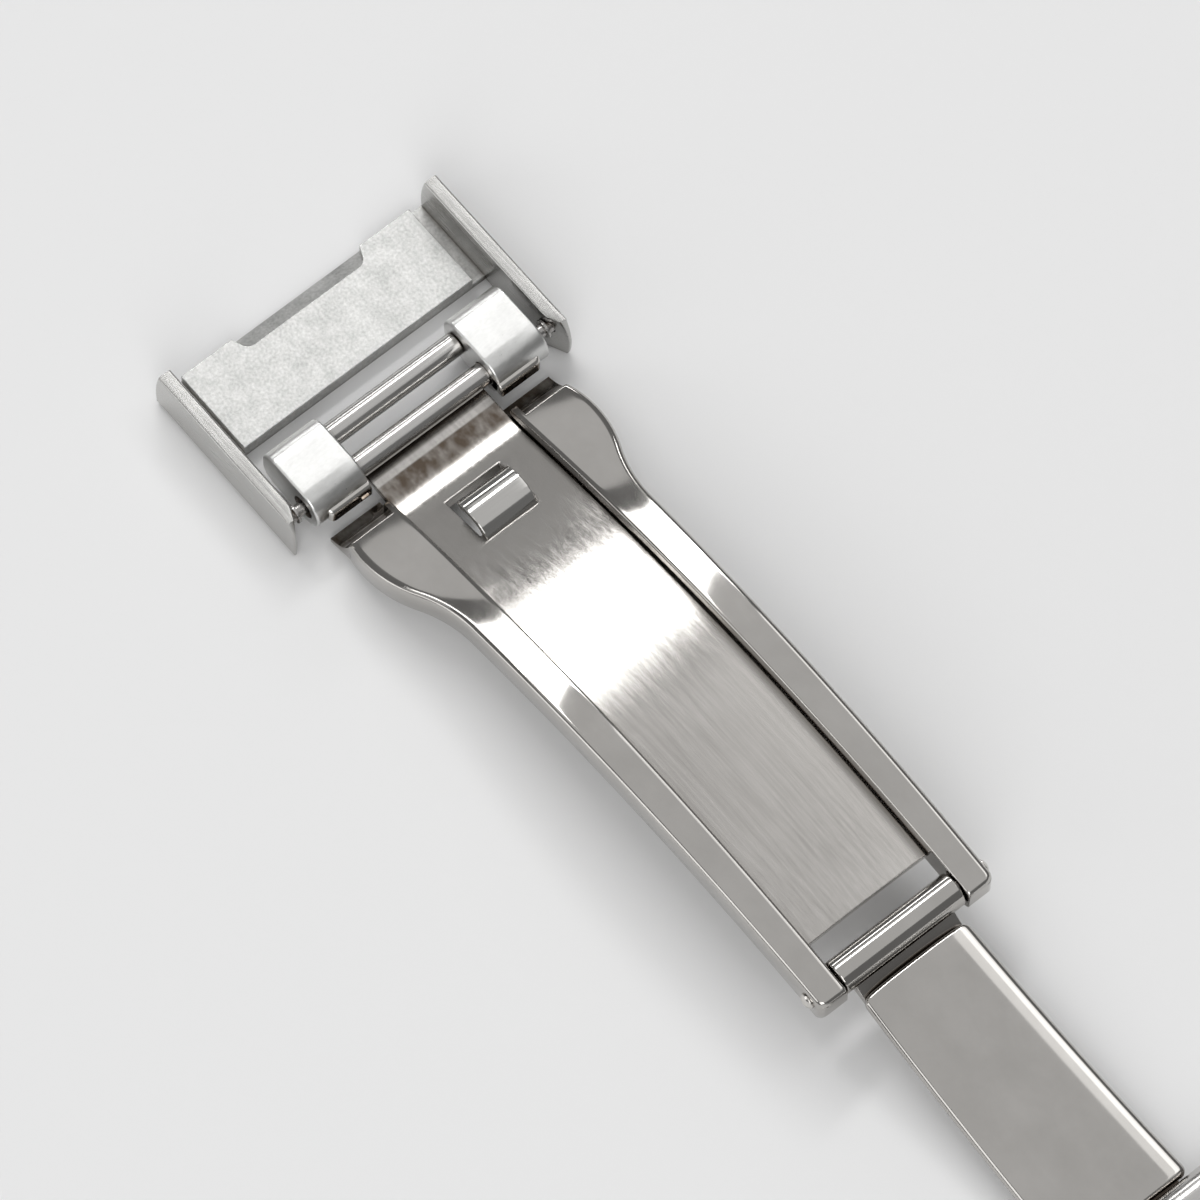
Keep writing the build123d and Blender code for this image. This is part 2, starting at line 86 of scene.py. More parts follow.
class Side(Enum):
    """Side of the clasp, with its sign along Y."""

    LEFT = -1
    RIGHT = 1

    @property
    def label(self) -> str:
        """The side's name as nodes and pieces carry it."""
        return self.name.lower()


class NodeSheet:
    """Wires the shader nodes of one material.

    A source is a node, whose first output counts, or a node and its output.
    """

    def __init__(self, name: str) -> None:
        """Starts an empty material of that name."""
        self.material = bpy.data.materials.new(name)
        self.material.use_nodes = True
        self.tree = self.material.node_tree
        self.tree.nodes.clear()
        self.shader = self.add("ShaderNodeBsdfPrincipled")
        self.add("ShaderNodeOutputMaterial", {"Surface": self.shader})
        self.place = (self.add("ShaderNodeTexCoord"), "Object")

    def wire(self, source: Source, node: bpy.types.Node, into: Socket) -> None:
        """Links a source to one input of a node."""
        giver, out = source if isinstance(source, tuple) else (source, 0)
        self.tree.links.new(giver.outputs[out], node.inputs[into])

    def add(self, kind: str, feeds: dict[Socket, Source] | None = None, **values: object) -> bpy.types.Node:
        """Adds a node, sets its values and links its inputs.

        Args:
            kind: The node's type.
            feeds: Source of each linked input.
            **values: Attribute names, or socket names with underscores.

        Returns:
            The new node.
        """
        node = self.tree.nodes.new(kind)
        for key, value in values.items():
            socket = node.inputs.get(key.replace("_", " "))
            if socket is None:
                setattr(node, key, value)
            else:
                socket.default_value = value
        for into, source in (feeds or {}).items():
            self.wire(source, node, into)
        return node

    def grain(self, cells: Triple, detail: float = 2.0, rough: float = 0.5) -> bpy.types.Node:
        """Noise on object coordinates.

        Args:
            cells: Cells per metre along X, Y and Z.
            detail: Octaves of the noise.
            rough: Strength of each finer octave.

        Returns:
            The noise node.
        """
        place = self.add("ShaderNodeMapping", {"Vector": self.place}, Scale=cells)
        return self.add("ShaderNodeTexNoise", {"Vector": place}, Scale=1.0, Detail=detail, Roughness=rough)

    def ranged(
        self, source: Source, start: float, end: float, low: float = 0.0, high: float = 1.0
    ) -> bpy.types.Node:
        """Maps values between start and end onto low to high.

        Args:
            source: The value.
            start: Input that gives low.
            end: Input that gives high.
            low: Value at start.
            high: Value at end.

        Returns:
            The map range node.
        """
        spans = {"From_Min": start, "From_Max": end, "To_Min": low, "To_Max": high}
        return self.add("ShaderNodeMapRange", {"Value": source}, **spans)

    def painted_shade_patches(self, mask: Source, ends: Pair) -> bpy.types.Node:
        """Adds patches of painted shade over a range of X to a mask of painted shade.

        The patches are a noise times how far X lies inside the range, and
        the greater of them and the mask counts.

        Args:
            mask: The mask.
            ends: Ends of the range in metres, its high end fading out.

        Returns:
            The node that gives the greater value.
        """
        axes = self.add("ShaderNodeSeparateXYZ", {0: self.place})
        low_fade, high_fade = SHADE_PATCH_FADES
        last = self.ranged(self.grain(SHADE_PATCH_CELLS, 6.0, 0.65), *SHADE_PATCH_SPAN)
        for start, end in ((ends[0] - low_fade, ends[0]), (ends[1], ends[1] - high_fade)):
            inside = self.ranged((axes, "X"), start, end)
            last = self.add("ShaderNodeMath", {0: last, 1: inside}, operation="MULTIPLY")
        return self.add("ShaderNodeMath", {0: last, 1: mask}, operation="MAXIMUM")

    def worn_edge(self, radius: float) -> bpy.types.Node:
        """Mask of the sharp edges, which handling polishes: one less the
        cosine between the surface and its rounded shading, made steep.

        Args:
            radius: Width in metres of the worn strip.

        Returns:
            The node that gives 1 on edges.
        """
        soft = self.add("ShaderNodeBevel", Radius=radius, samples=4)
        plain = (self.add("ShaderNodeNewGeometry"), "Normal")
        likeness = self.add("ShaderNodeVectorMath", {0: soft, 1: plain}, operation="DOT_PRODUCT")
        return self.ranged((likeness, "Value"), *WORN_COSINES)

    def relief(self, layers: list[tuple[bpy.types.Node, float]], edge: float) -> bpy.types.Node:
        """Stacks bump layers on softly rounded edges.

        Args:
            layers: Noise nodes, each with its depth in metres.
            edge: Radius in metres to which sharp edges shade as rounded.

        Returns:
            The node that gives the normal.
        """
        last = self.add("ShaderNodeBevel", Radius=edge, samples=4)
        for noise, depth in layers:
            last = self.add("ShaderNodeBump", {"Height": noise, "Normal": last}, Strength=1.0, Distance=depth)
        return last


@dataclass(frozen=True)
class Steel:
    """A steel finish: tones, sheen and the size of its marks.

    Attributes:
        name: The material's name.
        slot: The record's material slot of the pieces that wear it; not used.
        dark: Darker tone of the metal.
        light: Lighter tone of the metal.
        smooth: Lowest and highest roughness.
        cells: Cells per metre of the marks along X, Y and Z.
        depth: Depth in metres of the marks.
        cloud: Cells per metre of the slow variation of tone and sheen.
        wave: Depth in metres of the slow unevenness of the surface.
        brushed: Whether the sheen spreads across a brushing along X.
        fine: Cells per metre of shorter scratches, half as deep.
        painted_shade: Tone of the painted shade put into narrow gaps and patches.
        painted_shade_reach: Width in metres of a gap that is darkened with painted shade.
        worn: Width in metres of the polished strip along sharp edges.
        stain: Range of X in metres that is darkened in patches of painted shade and painted dark reflection.
    """

    name: str
    slot: str
    dark: Triple
    light: Triple
    smooth: Pair
    cells: Triple
    depth: float
    cloud: float = 250.0
    wave: float = 0.0
    brushed: bool = False
    fine: Triple | None = None
    # Painted shade: a brownish tone that darkens narrow gaps and patches in place of shadow and dark
    # reflections.
    painted_shade: Triple = (0.12, 0.094, 0.072)
    painted_shade_reach: float = 0.0006
    worn: float = 0.0
    stain: Pair | None = None

    def tone(self, sheet: NodeSheet, mixed: Source) -> Source:
        """Colour of the metal, darkened with painted shade in narrow gaps.

        Args:
            sheet: The material's nodes.
            mixed: Value from 0 for the dark tone to 1 for the light one.

        Returns:
            The colour.
        """
        ramp = sheet.add("ShaderNodeValToRGB", {"Fac": mixed})
        for stop, colour in zip(ramp.color_ramp.elements, (self.dark, self.light)):
            stop.color = (*colour, 1.0)
        # Painted shade: ambient occlusion over a short reach darkens narrow gaps.
        gap = sheet.add("ShaderNodeAmbientOcclusion", Distance=self.painted_shade_reach, samples=6)
        mask = sheet.ranged((gap, "AO"), *PAINTED_SHADE_SPAN, 1.0, 0.0)
        # Painted shade and painted dark reflection, in noisy patches over the hinge cove.
        if self.stain is not None:
            mask = sheet.painted_shade_patches(mask, self.stain)
        mix = sheet.add("ShaderNodeMix", data_type="RGBA")
        mix.inputs[7].default_value = (*self.painted_shade, 1.0)
        sheet.wire(mask, mix, 0)
        sheet.wire(ramp, mix, 6)
        return mix, 2

    @cache
    def made(self) -> bpy.types.Material:
        """Builds the node material, once.

        A brushed sheen's tangent is the brushing's direction turned a
        quarter about the surface's normal, by their cross product.

        Returns:
            The finished material.
        """
        sheet = NodeSheet(self.name)
        marks = sheet.grain(self.cells, 4.0, 0.6)
        cloud = sheet.grain((self.cloud,) * 3, 5.0, 0.6)
        parts = enumerate(((marks, MARKS_SHARE), (cloud, CLOUD_SHARE)))
        shares = {into: sheet.ranged(noise, *NOISE_SPAN, high=share) for into, (noise, share) in parts}
        mixed = sheet.add("ShaderNodeMath", shares, operation="ADD")
        rough = sheet.ranged(mixed, 0.0, 1.0, *self.smooth)
        if self.worn:
            ends = {"Value": sheet.worn_edge(self.worn), "To Min": rough}
            rough = sheet.add("ShaderNodeMapRange", ends, To_Max=WORN_ROUGHNESS)
        layers = [(marks, self.depth)]
        if self.wave:
            layers.append((sheet.grain(WAVE_CELLS, 1.0), self.wave))
        if self.fine is not None:
            layers.append((sheet.grain(self.fine), self.depth / 2))
        shader = sheet.shader
        shader.inputs["Metallic"].default_value = 1.0
        sheet.wire(self.tone(sheet, mixed), shader, "Base Color")
        sheet.wire(rough, shader, "Roughness")
        sheet.wire(sheet.relief(layers, SHADED_EDGE), shader, "Normal")
        if self.brushed:
            plain = (sheet.add("ShaderNodeNewGeometry"), "Normal")
            tangent = sheet.add("ShaderNodeVectorMath", {0: plain}, operation="CROSS_PRODUCT")
            tangent.inputs[1].default_value = (1.0, 0.0, 0.0)
            shader.inputs["Anisotropic"].default_value = 1.0
            sheet.wire(tangent, shader, "Tangent")
        return sheet.material


POLISHED = Steel(
    "polished_steel",
    "polished_steel",
    (0.46, 0.445, 0.424),
    (0.53, 0.514, 0.492),
    (0.03, 0.08),
    (350.0, 450.0, 450.0),
    5e-8,
    wave=3e-6,
    # Painted shade in narrow gaps, and patches of painted shade and painted dark reflection in the hinge
    # cove.
    painted_shade_reach=0.0008,
    stain=(-0.02225, -0.0205),
)
POLISHED_RAIL = replace(POLISHED, name="polished_rail_steel", painted_shade_reach=0.0001)
# Painted highlight: a lighter copy of polished steel with little painted shade, so that the pin's ends and
# the lips look as bright as their highlights.
HIGHLIGHTED_ENDS = replace(
    POLISHED,
    name="painted_highlight_polished_steel",
    dark=(0.6, 0.58, 0.55),
    light=(0.7, 0.68, 0.65),
    painted_shade_reach=0.00008,
)
BRUSHED_PLATE = Steel(
    "brushed_plate_steel",
    "brushed_steel",
    (0.45, 0.433, 0.41),
    (0.6, 0.58, 0.556),
    (0.14, 0.27),
    (120.0, 5000.0, 5000.0),
    3e-6,
    cloud=160.0,
    brushed=True,
    fine=(1200.0, 9000.0, 9000.0),
    # A patch of painted shade on the sheet near the hinge bar.
    stain=(-0.0223, -0.0207),
)
BRIGHT_ACROSS = Steel(
    "bright_across_steel",
    "brushed_steel",
    (0.55, 0.54, 0.52),
    (0.6, 0.59, 0.57),
    (0.06, 0.14),
    (9000.0, 300.0, 9000.0),
    4e-7,
)
BRUSHED_BAR = Steel(
    "brushed_bar_steel",
    "brushed_steel",
    (0.55, 0.54, 0.525),
    (0.6, 0.59, 0.575),
    (0.16, 0.24),
    (9000.0, 400.0, 9000.0),
    2e-7,
)
SATIN = Steel(
    "satin_steel",
    "brushed_steel",
    (0.64, 0.64, 0.627),
    (0.74, 0.74, 0.727),
    (0.26, 0.36),
    (7000.0, 3000.0, 7000.0),
    2e-6,
    cloud=400.0,
)
BLASTED = Steel(
    "blasted_steel",
    "blasted_steel",
    (0.31, 0.31, 0.302),
    (0.65, 0.65, 0.636),
    (0.36, 0.48),
    (6000.0, 6000.0, 6000.0),
    2.5e-6,
    cloud=900.0,
    worn=0.0001,
)
BRUSHED_WALL = Steel(
    "brushed_wall_steel",
    "blasted_steel",
    (0.47, 0.465, 0.45),
    (0.55, 0.545, 0.53),
    (0.2, 0.3),
    (300.0, 9000.0, 9000.0),
    3e-7,
    cloud=500.0,
    worn=0.0001,
)
SPRING = Steel(
    "spring_steel",
    "spring_steel",
    (0.42, 0.41, 0.4),
    (0.52, 0.51, 0.5),
    (0.2, 0.35),
    (8000.0, 8000.0, 8000.0),
    1e-6,
)


def dress(obj: bpy.types.Object, steel: Steel) -> None:
    """Gives every slot of an object one finish.

    Args:
        obj: The object.
        steel: The finish.
    """
    if not obj.material_slots:
        obj.data.materials.append(steel.made())
    for slot in obj.material_slots:
        slot.material = steel.made()


def placed(name: str, data: bpy.types.ID) -> bpy.types.Object:
    """Puts a new object of some data into the scene.

    Args:
        name: The object's name.
        data: Its mesh, light or camera.

    Returns:
        The object.
    """
    obj = bpy.data.objects.new(name, data)
    bpy.context.scene.collection.objects.link(obj)
    return obj


@dataclass(frozen=True)
class Panel:
    """A flat studio light, in metres.

    Attributes:
        name: The light's name.
        place: Its middle.
        size: Its width and its height.
        glow: Brightness of its face, where 1 looks white.
        level: Whether it hangs level and faces straight down.
        roll: Turn about its own axis, in degrees.
    """

    name: str
    place: Triple
    size: Pair
    glow: float
    level: bool = False
    roll: float = 0.0


@dataclass
class Studio:
    """Floor, lights and camera.

    Attributes:
        azimuth: Camera's angle round the clasp, 0 looking along +Y.
        elevation: Camera's angle above the table.
        roll: Camera's turn about its own axis.
        distance: From the camera to its target, in metres.
        focal: Lens length in millimetres.
        sensor: Width of the picture behind the lens, in millimetres.
        clip: Nearest and farthest distance that the camera sees.
        target: Point that the camera looks at.
        floor_tone: Grey of the floor.
        floor_size: Side of the square floor.
        floor_sheen: Roughness of the floor and strength of its reflections.
        world_tones: Grey of the surroundings, and grey that the camera sees.
        panels: The lights.
    """

    azimuth: float = 50.553
    elevation: float = 65.931
    roll: float = 0.043
    distance: float = 0.56396
    focal: float = 337.53
    sensor: float = 36.0
    clip: Pair = (0.01, 20.0)
    target: Triple = (-0.01108, 0.00138, 0.0)
    floor_tone: float = 0.82
    floor_size: float = 6.0
    floor_sheen: Pair = (0.9, 0.1)
    world_tones: Pair = (0.2, 0.9)
    panels: tuple[Panel, ...] = (
        Panel("ceiling", (0.09, -0.1, 1.2), (1.92, 1.9), 0.5, level=True),
        Panel("window_low", (-0.695, 0.312, 0.925), (0.9, 0.14), 5.0),
        Panel("window_high", (-0.682, 0.305, 0.945), (0.9, 0.16), 5.0, roll=13.0),
        Panel("card", (-0.867, 0.311, 0.769), (0.28, 0.2), 0.5),
        Panel("low_strip", (-1.03, 0.33, 0.46), (0.8, 0.09), 6.0),
        Panel("front_fill", (0.75, -0.7, 0.72), (0.9, 0.9), 2.5),
        Panel("right_fill", (-0.1, 0.66, 1.0), (0.34, 0.9), 0.64),
        Panel("right_core", (-0.098, 0.67, 0.98), (0.19, 0.9), 0.85),
        Panel("left_strip", (-0.36, -1.1, 0.33), (0.4, 1.2), 1.5),
    )

    def camera(self) -> None:
        """Places the camera at the photograph's viewing angle."""
        turn, lift, roll = (math.radians(v) for v in (self.azimuth, self.elevation, self.roll))
        back = Vector((math.sin(turn) * math.cos(lift), -math.cos(turn) * math.cos(lift), math.sin(lift)))
        right = Vector((math.cos(turn), math.sin(turn), 0.0))
        rolled = right * math.cos(roll) + back.cross(right) * math.sin(roll)
        data = bpy.data.cameras.new("camera")
        data.lens = self.focal
        data.sensor_width = self.sensor
        data.clip_start, data.clip_end = self.clip
        cam = placed("camera", data)
        spin = Matrix((rolled, back.cross(rolled), back)).transposed().to_4x4()
        cam.matrix_world = Matrix.Translation(Vector(self.target) + back * self.distance) @ spin
        bpy.context.scene.camera = cam

    def light(self, panel: Panel) -> None:
        """Adds a flat studio light that faces the clasp, or straight down.

        Its width lies across the clasp, so that its edges look straight
        across in the blade.

        Args:
            panel: The light's name, place, size and brightness.
        """
        data = bpy.data.lights.new(panel.name, "AREA")
        data.shape = "RECTANGLE"
        data.size, data.size_y = panel.size
        data.energy = panel.glow * math.pi * panel.size[0] * panel.size[1]
        lamp = placed(panel.name, data)
        lamp.location = panel.place
        if not panel.level:
            back = Vector(panel.place).normalized()
            across = Vector((0.0, 1.0, 0.0))
            across = (across - back * across.dot(back)).normalized()
            spin = Matrix((across, back.cross(across), back)).transposed()
            lamp.rotation_euler = (spin @ Matrix.Rotation(math.radians(panel.roll), 3, "Z")).to_euler()

    def floor(self) -> None:
        """Lays the plain pale floor, a flat square far wider than the clasp."""
        half = self.floor_size / 2
        mesh = bpy.data.meshes.new("floor")
        square = [(-half, -half, 0), (half, -half, 0), (half, half, 0), (-half, half, 0)]
        mesh.from_pydata(square, [], [(0, 1, 2, 3)])
        sheet = NodeSheet("pale_floor")
        looks = ((*(self.floor_tone,) * 3, 1.0), *self.floor_sheen)
        for socket, value in zip(("Base Color", "Roughness", "Specular IOR Level"), looks):
            sheet.shader.inputs[socket].default_value = value
        mesh.materials.append(sheet.material)
        placed("floor", mesh)

    def sky(self) -> None:
        """Plain grey surroundings, which the camera itself sees as white."""
        world = bpy.data.worlds.new("surroundings")
        bpy.context.scene.world = world
        world.use_nodes = True
        tree = world.node_tree
        tree.nodes.clear()
        kinds = ("OutputWorld", "MixShader", "LightPath")
        out, blend, path = (tree.nodes.new(f"ShaderNode{kind}") for kind in kinds)
        tree.links.new(path.outputs["Is Camera Ray"], blend.inputs["Fac"])
        for into, tone in enumerate(self.world_tones, start=1):
            plain = tree.nodes.new("ShaderNodeBackground")
            plain.inputs["Color"].default_value = (tone, tone, tone, 1.0)
            tree.links.new(plain.outputs[0], blend.inputs[into])
        tree.links.new(blend.outputs[0], out.inputs[0])

    def build(self) -> None:
        """Sets up the whole studio."""
        self.camera()
        self.floor()
        self.sky()
        for panel in self.panels:
            self.light(panel)
        bpy.context.scene.view_settings.view_transform = "Standard"
        log.info("studio: camera %.1f, %.1f degrees", self.azimuth, self.elevation)


def chain(*parts: np.ndarray | list, axis: int = 0) -> np.ndarray:
    """Arrays one after the other."""
    return np.concatenate(parts, axis=axis)


def pairs(*columns: np.ndarray) -> np.ndarray:
    """Arrays side by side, as the columns of a new last axis."""
    return np.stack(columns, axis=-1)


def ring_faces(rows: int, ring: int, looped: bool = False) -> Faces:
    """Faces of a solid whose closed rings of points follow each other.

    Each ring is joined to the next one by four-sided faces. The first and
    last rings are closed by one face each, or joined to each other.

    Args:
        rows: Number of rings.
        ring: Points in a ring.
        looped: Whether the last ring is joined to the first one.

    Returns:
        The faces, by point.
    """
    number = np.arange(rows * ring).reshape(rows, ring)
    ahead = np.roll(number, -1, axis=0)
    quads = pairs(number, np.roll(number, -1, axis=1), np.roll(ahead, -1, axis=1), ahead)
    if looped:
        return quads.reshape(-1, 4).tolist()
    return [*quads[:-1].reshape(-1, 4).tolist(), number[0, ::-1].tolist(), number[-1].tolist()]


def slab_faces(kept: np.ndarray) -> Faces:
    """Faces of a slab of two grids of points, the second after the first.

    Each kept cell gives a face above and one below, and each of its sides
    with no kept cell beyond it gives a wall between the two grids.

    Args:
        kept: True for each cell of the grid that is part of the slab.

    Returns:
        The faces, by point.
    """
    rows, cols = kept.shape
    upper = np.arange((rows + 1) * (cols + 1)).reshape(rows + 1, cols + 1)
    corners_at = [(0, 0), (0, 1), (1, 1), (1, 0)]
    both = (upper, upper + upper.size)
    cell, deep = ([grid[r : rows + r, c : cols + c] for r, c in corners_at] for grid in both)
    padded = np.pad(kept, 1)
    beyond = [padded[:-2, 1:-1], padded[1:-1, 2:], padded[2:, 1:-1], padded[1:-1, :-2]]
    sides = [(kept, cell), (kept, deep[::-1])]
    for turn, other in enumerate(beyond):
        ahead = (turn + 1) % 4
        sides.append((kept & ~other, [cell[ahead], cell[turn], deep[turn], deep[ahead]]))
    quads = [pairs(*(corner[chosen] for corner in corners_of)) for chosen, corners_of in sides]
    return chain(*quads).tolist()


def piece(
    name: str,
    node: str,
    body: str,
    steel: Steel,
    points: np.ndarray,
    faces: Faces | None = None,
    edge: float = 0.0,
) -> bpy.types.Object:
    """Makes, dresses and logs one piece, smooth where it bends gently.

    Args:
        name: The piece's name.
        node: CAD node that it replaces.
        body: CAD body that it rides on.
        steel: Its finish.
        points: Its points in metres, one row for each cross section.
        faces: Corners of each face, by point, or None to join the rows.
        edge: Width to which sharp edges are rounded.

    Returns:
        The new object, whose faces point outwards.
    """
    mesh = bpy.data.meshes.new(name)
    mesh.from_pydata(points.reshape(-1, 3).tolist(), [], faces or ring_faces(*points.shape[:2]))
    work = bmesh.new()
    work.from_mesh(mesh)
    bmesh.ops.remove_doubles(work, verts=work.verts, dist=WELD)
    bmesh.ops.dissolve_degenerate(work, edges=work.edges, dist=SLIVER)
    for parts, context in ((work.edges, "EDGES"), (work.verts, "VERTS")):
        bmesh.ops.delete(work, geom=[part for part in parts if not part.link_faces], context=context)
    bmesh.ops.recalc_face_normals(work, faces=work.faces)
    work.to_mesh(mesh)
    work.free()
    mesh.shade_smooth()
    mesh.set_sharp_from_angle(angle=math.radians(SHARP_ANGLE))
    obj = placed(name, mesh)
    if edge:
        bevel = obj.modifiers.new("rounded edges", "BEVEL")
        bevel.width = edge * MM
        bevel.segments = 3
        bevel.limit_method = "ANGLE"
        bevel.angle_limit = math.radians(BEVEL_ANGLE)
    obj.modifiers.new("flat faces", "WEIGHTED_NORMAL").keep_sharp = True
    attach(obj, body)
    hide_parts(node)
    dress(obj, steel)
    log.info("piece %s", name)
    return obj


def arc_through(first: Pair, middle: Pair, last: Pair) -> Triple:
    """Circle through three points, where their bisectors meet.

    Args:
        first: One point.
        middle: A second point.
        last: A third point.

    Returns:
        The centre's two places and the radius.
    """
    (ax, ay), (bx, by), (cx, cy) = first, middle, last
    twice = 2 * (ax * (by - cy) + bx * (cy - ay) + cx * (ay - by))
    sums = [px * px + py * py for px, py in (first, middle, last)]
    x = (sums[0] * (by - cy) + sums[1] * (cy - ay) + sums[2] * (ay - by)) / twice
    y = (sums[0] * (cx - bx) + sums[1] * (ax - cx) + sums[2] * (bx - ax)) / twice
    return x, y, math.hypot(ax - x, ay - y)


def on_circle(place: np.ndarray, circle: Triple, way: int) -> np.ndarray:
    """Height of a circle over each place: its centre's height plus or minus
    the root of the radius squared less the place's distance squared."""
    x, y, radius = circle
    return y + way * np.sqrt(np.maximum(radius**2 - (place - x) ** 2, 0.0))


def unit_circle(angle: np.ndarray) -> np.ndarray:
    """Points of the unit circle: the cosine and the sine of each angle."""
    return pairs(np.cos(angle), np.sin(angle))


def eased(radius: float, count: int) -> np.ndarray:
    """Distances from an edge of the steps round its quarter circle, close
    together at the edge: radius times one less the cosine of the angle."""
    return radius * (1 - np.cos(np.linspace(0.0, math.pi / 2, count)))


def rounding(radius: float, *gaps: np.ndarray) -> np.ndarray:
    """Drop of a surface near its edges: the radius less the root of its
    square minus the squares of how far each gap falls short of it."""
    short = sum(np.maximum(radius - gap, 0.0) ** 2 for gap in gaps)
    return radius - np.sqrt(np.maximum(radius**2 - short, 0.0))


def rimmed(low: float, high: float, edge: float, count: int = 5) -> tuple[np.ndarray, np.ndarray]:
    """Places along Y and their drawing in, for a piece with rounded rims.

    Args:
        low: One end.
        high: The other end.
        edge: Radius of both rims.
        count: Steps round each rim.

    Returns:
        The places, and how far the outline is drawn in at each.
    """
    places = chain(low + eased(edge, count), high - np.flip(eased(edge, count)))
    return places, rounding(edge, np.minimum(places - low, high - places))


def outward(along: np.ndarray) -> np.ndarray:
    """Unit normals of a side line: its tangents turned by a quarter."""
    along = along / np.linalg.norm(along, axis=1)[:, None]
    return pairs(along[:, 1], -along[:, 0])


@dataclass(frozen=True)
class Blade:
    """Sizes of the main blade, about which all the other pieces are placed.

    Its top is an arc in side view, with its crown at one reach. It starts
    at a step beside the hinge bar and ends at the hinge pin.
    """

    hinge_x: float = -23.7
    hinge_height: float = 2.2
    crown_reach: float = 26.0
    crown_height: float = 5.85
    step_reach: float = 3.15
    step_height: float = 2.47
    pin_reach: float = 37.1

    @property
    def radius(self) -> float:
        """Radius of the crowned top."""
        rise = self.crown_height - self.step_height
        return ((self.crown_reach - self.step_reach) ** 2 + rise**2) / (2 * rise)

    def height(self, reach: np.ndarray | float, drop: float = 0.0) -> np.ndarray:
        """Height of the surface that lies drop below the crowned top: the
        crown less the radius plus the root of the inner radius squared less
        the distance from the crown squared."""
        inner = self.radius - drop
        return self.crown_height - self.radius + np.sqrt(inner**2 - (reach - self.crown_reach) ** 2)

    def points(self, reach: np.ndarray, across: np.ndarray, height: np.ndarray) -> np.ndarray:
        """Points in metres from reaches, widths and heights."""
        return pairs(*np.broadcast_arrays(reach + self.hinge_x, across, height)) * MM

    def carried(self, ring: np.ndarray, across: np.ndarray, shrink: np.ndarray | float = 0.0) -> np.ndarray:
        """Carries a side view outline along Y and draws it in at its rims.

        Each point of the outline moves inwards along its own normal, which
        is square to the line between its neighbours.

        Args:
            ring: The outline, counterclockwise.
            across: Place along Y of each copy.
            shrink: How far each copy is drawn in.

        Returns:
            The points in metres, one row for each copy.
        """
        normal = outward(np.roll(ring, -1, axis=0) - np.roll(ring, 1, axis=0))
        rings = ring[None] - normal[None] * np.broadcast_to(shrink, across.shape)[:, None, None]
        return self.points(rings[..., 0], across[:, None], rings[..., 1])

    def turned(
        self, reach: float, height: float, half: np.ndarray, steps: int = 72
    ) -> tuple[np.ndarray, Faces]:
        """Turns a closed profile round an axis along Y: each point lies at
        the axis plus its radius times the cosine and sine of the turn.

        Args:
            reach: Reach of the axis.
            height: Height of the axis.
            half: Right half of the profile, in rows of place and radius.
            steps: Number of turns.

        Returns:
            The points in metres and their faces.
        """
        profile = chain(half, (half * [-1.0, 1.0])[::-1])
        turn = np.linspace(0.0, FULL_TURN, steps, endpoint=False)[:, None]
        x = (self.hinge_x + reach) + profile[:, 1] * np.cos(turn)
        z = height + profile[:, 1] * np.sin(turn)
        points = pairs(*np.broadcast_arrays(x, profile[:, 0], z)) * MM
        return points, ring_faces(*points.shape[:2], looped=True)


@dataclass
class Assembly:
    """Pieces that are built together, placed about the main blade."""

    blade: Blade


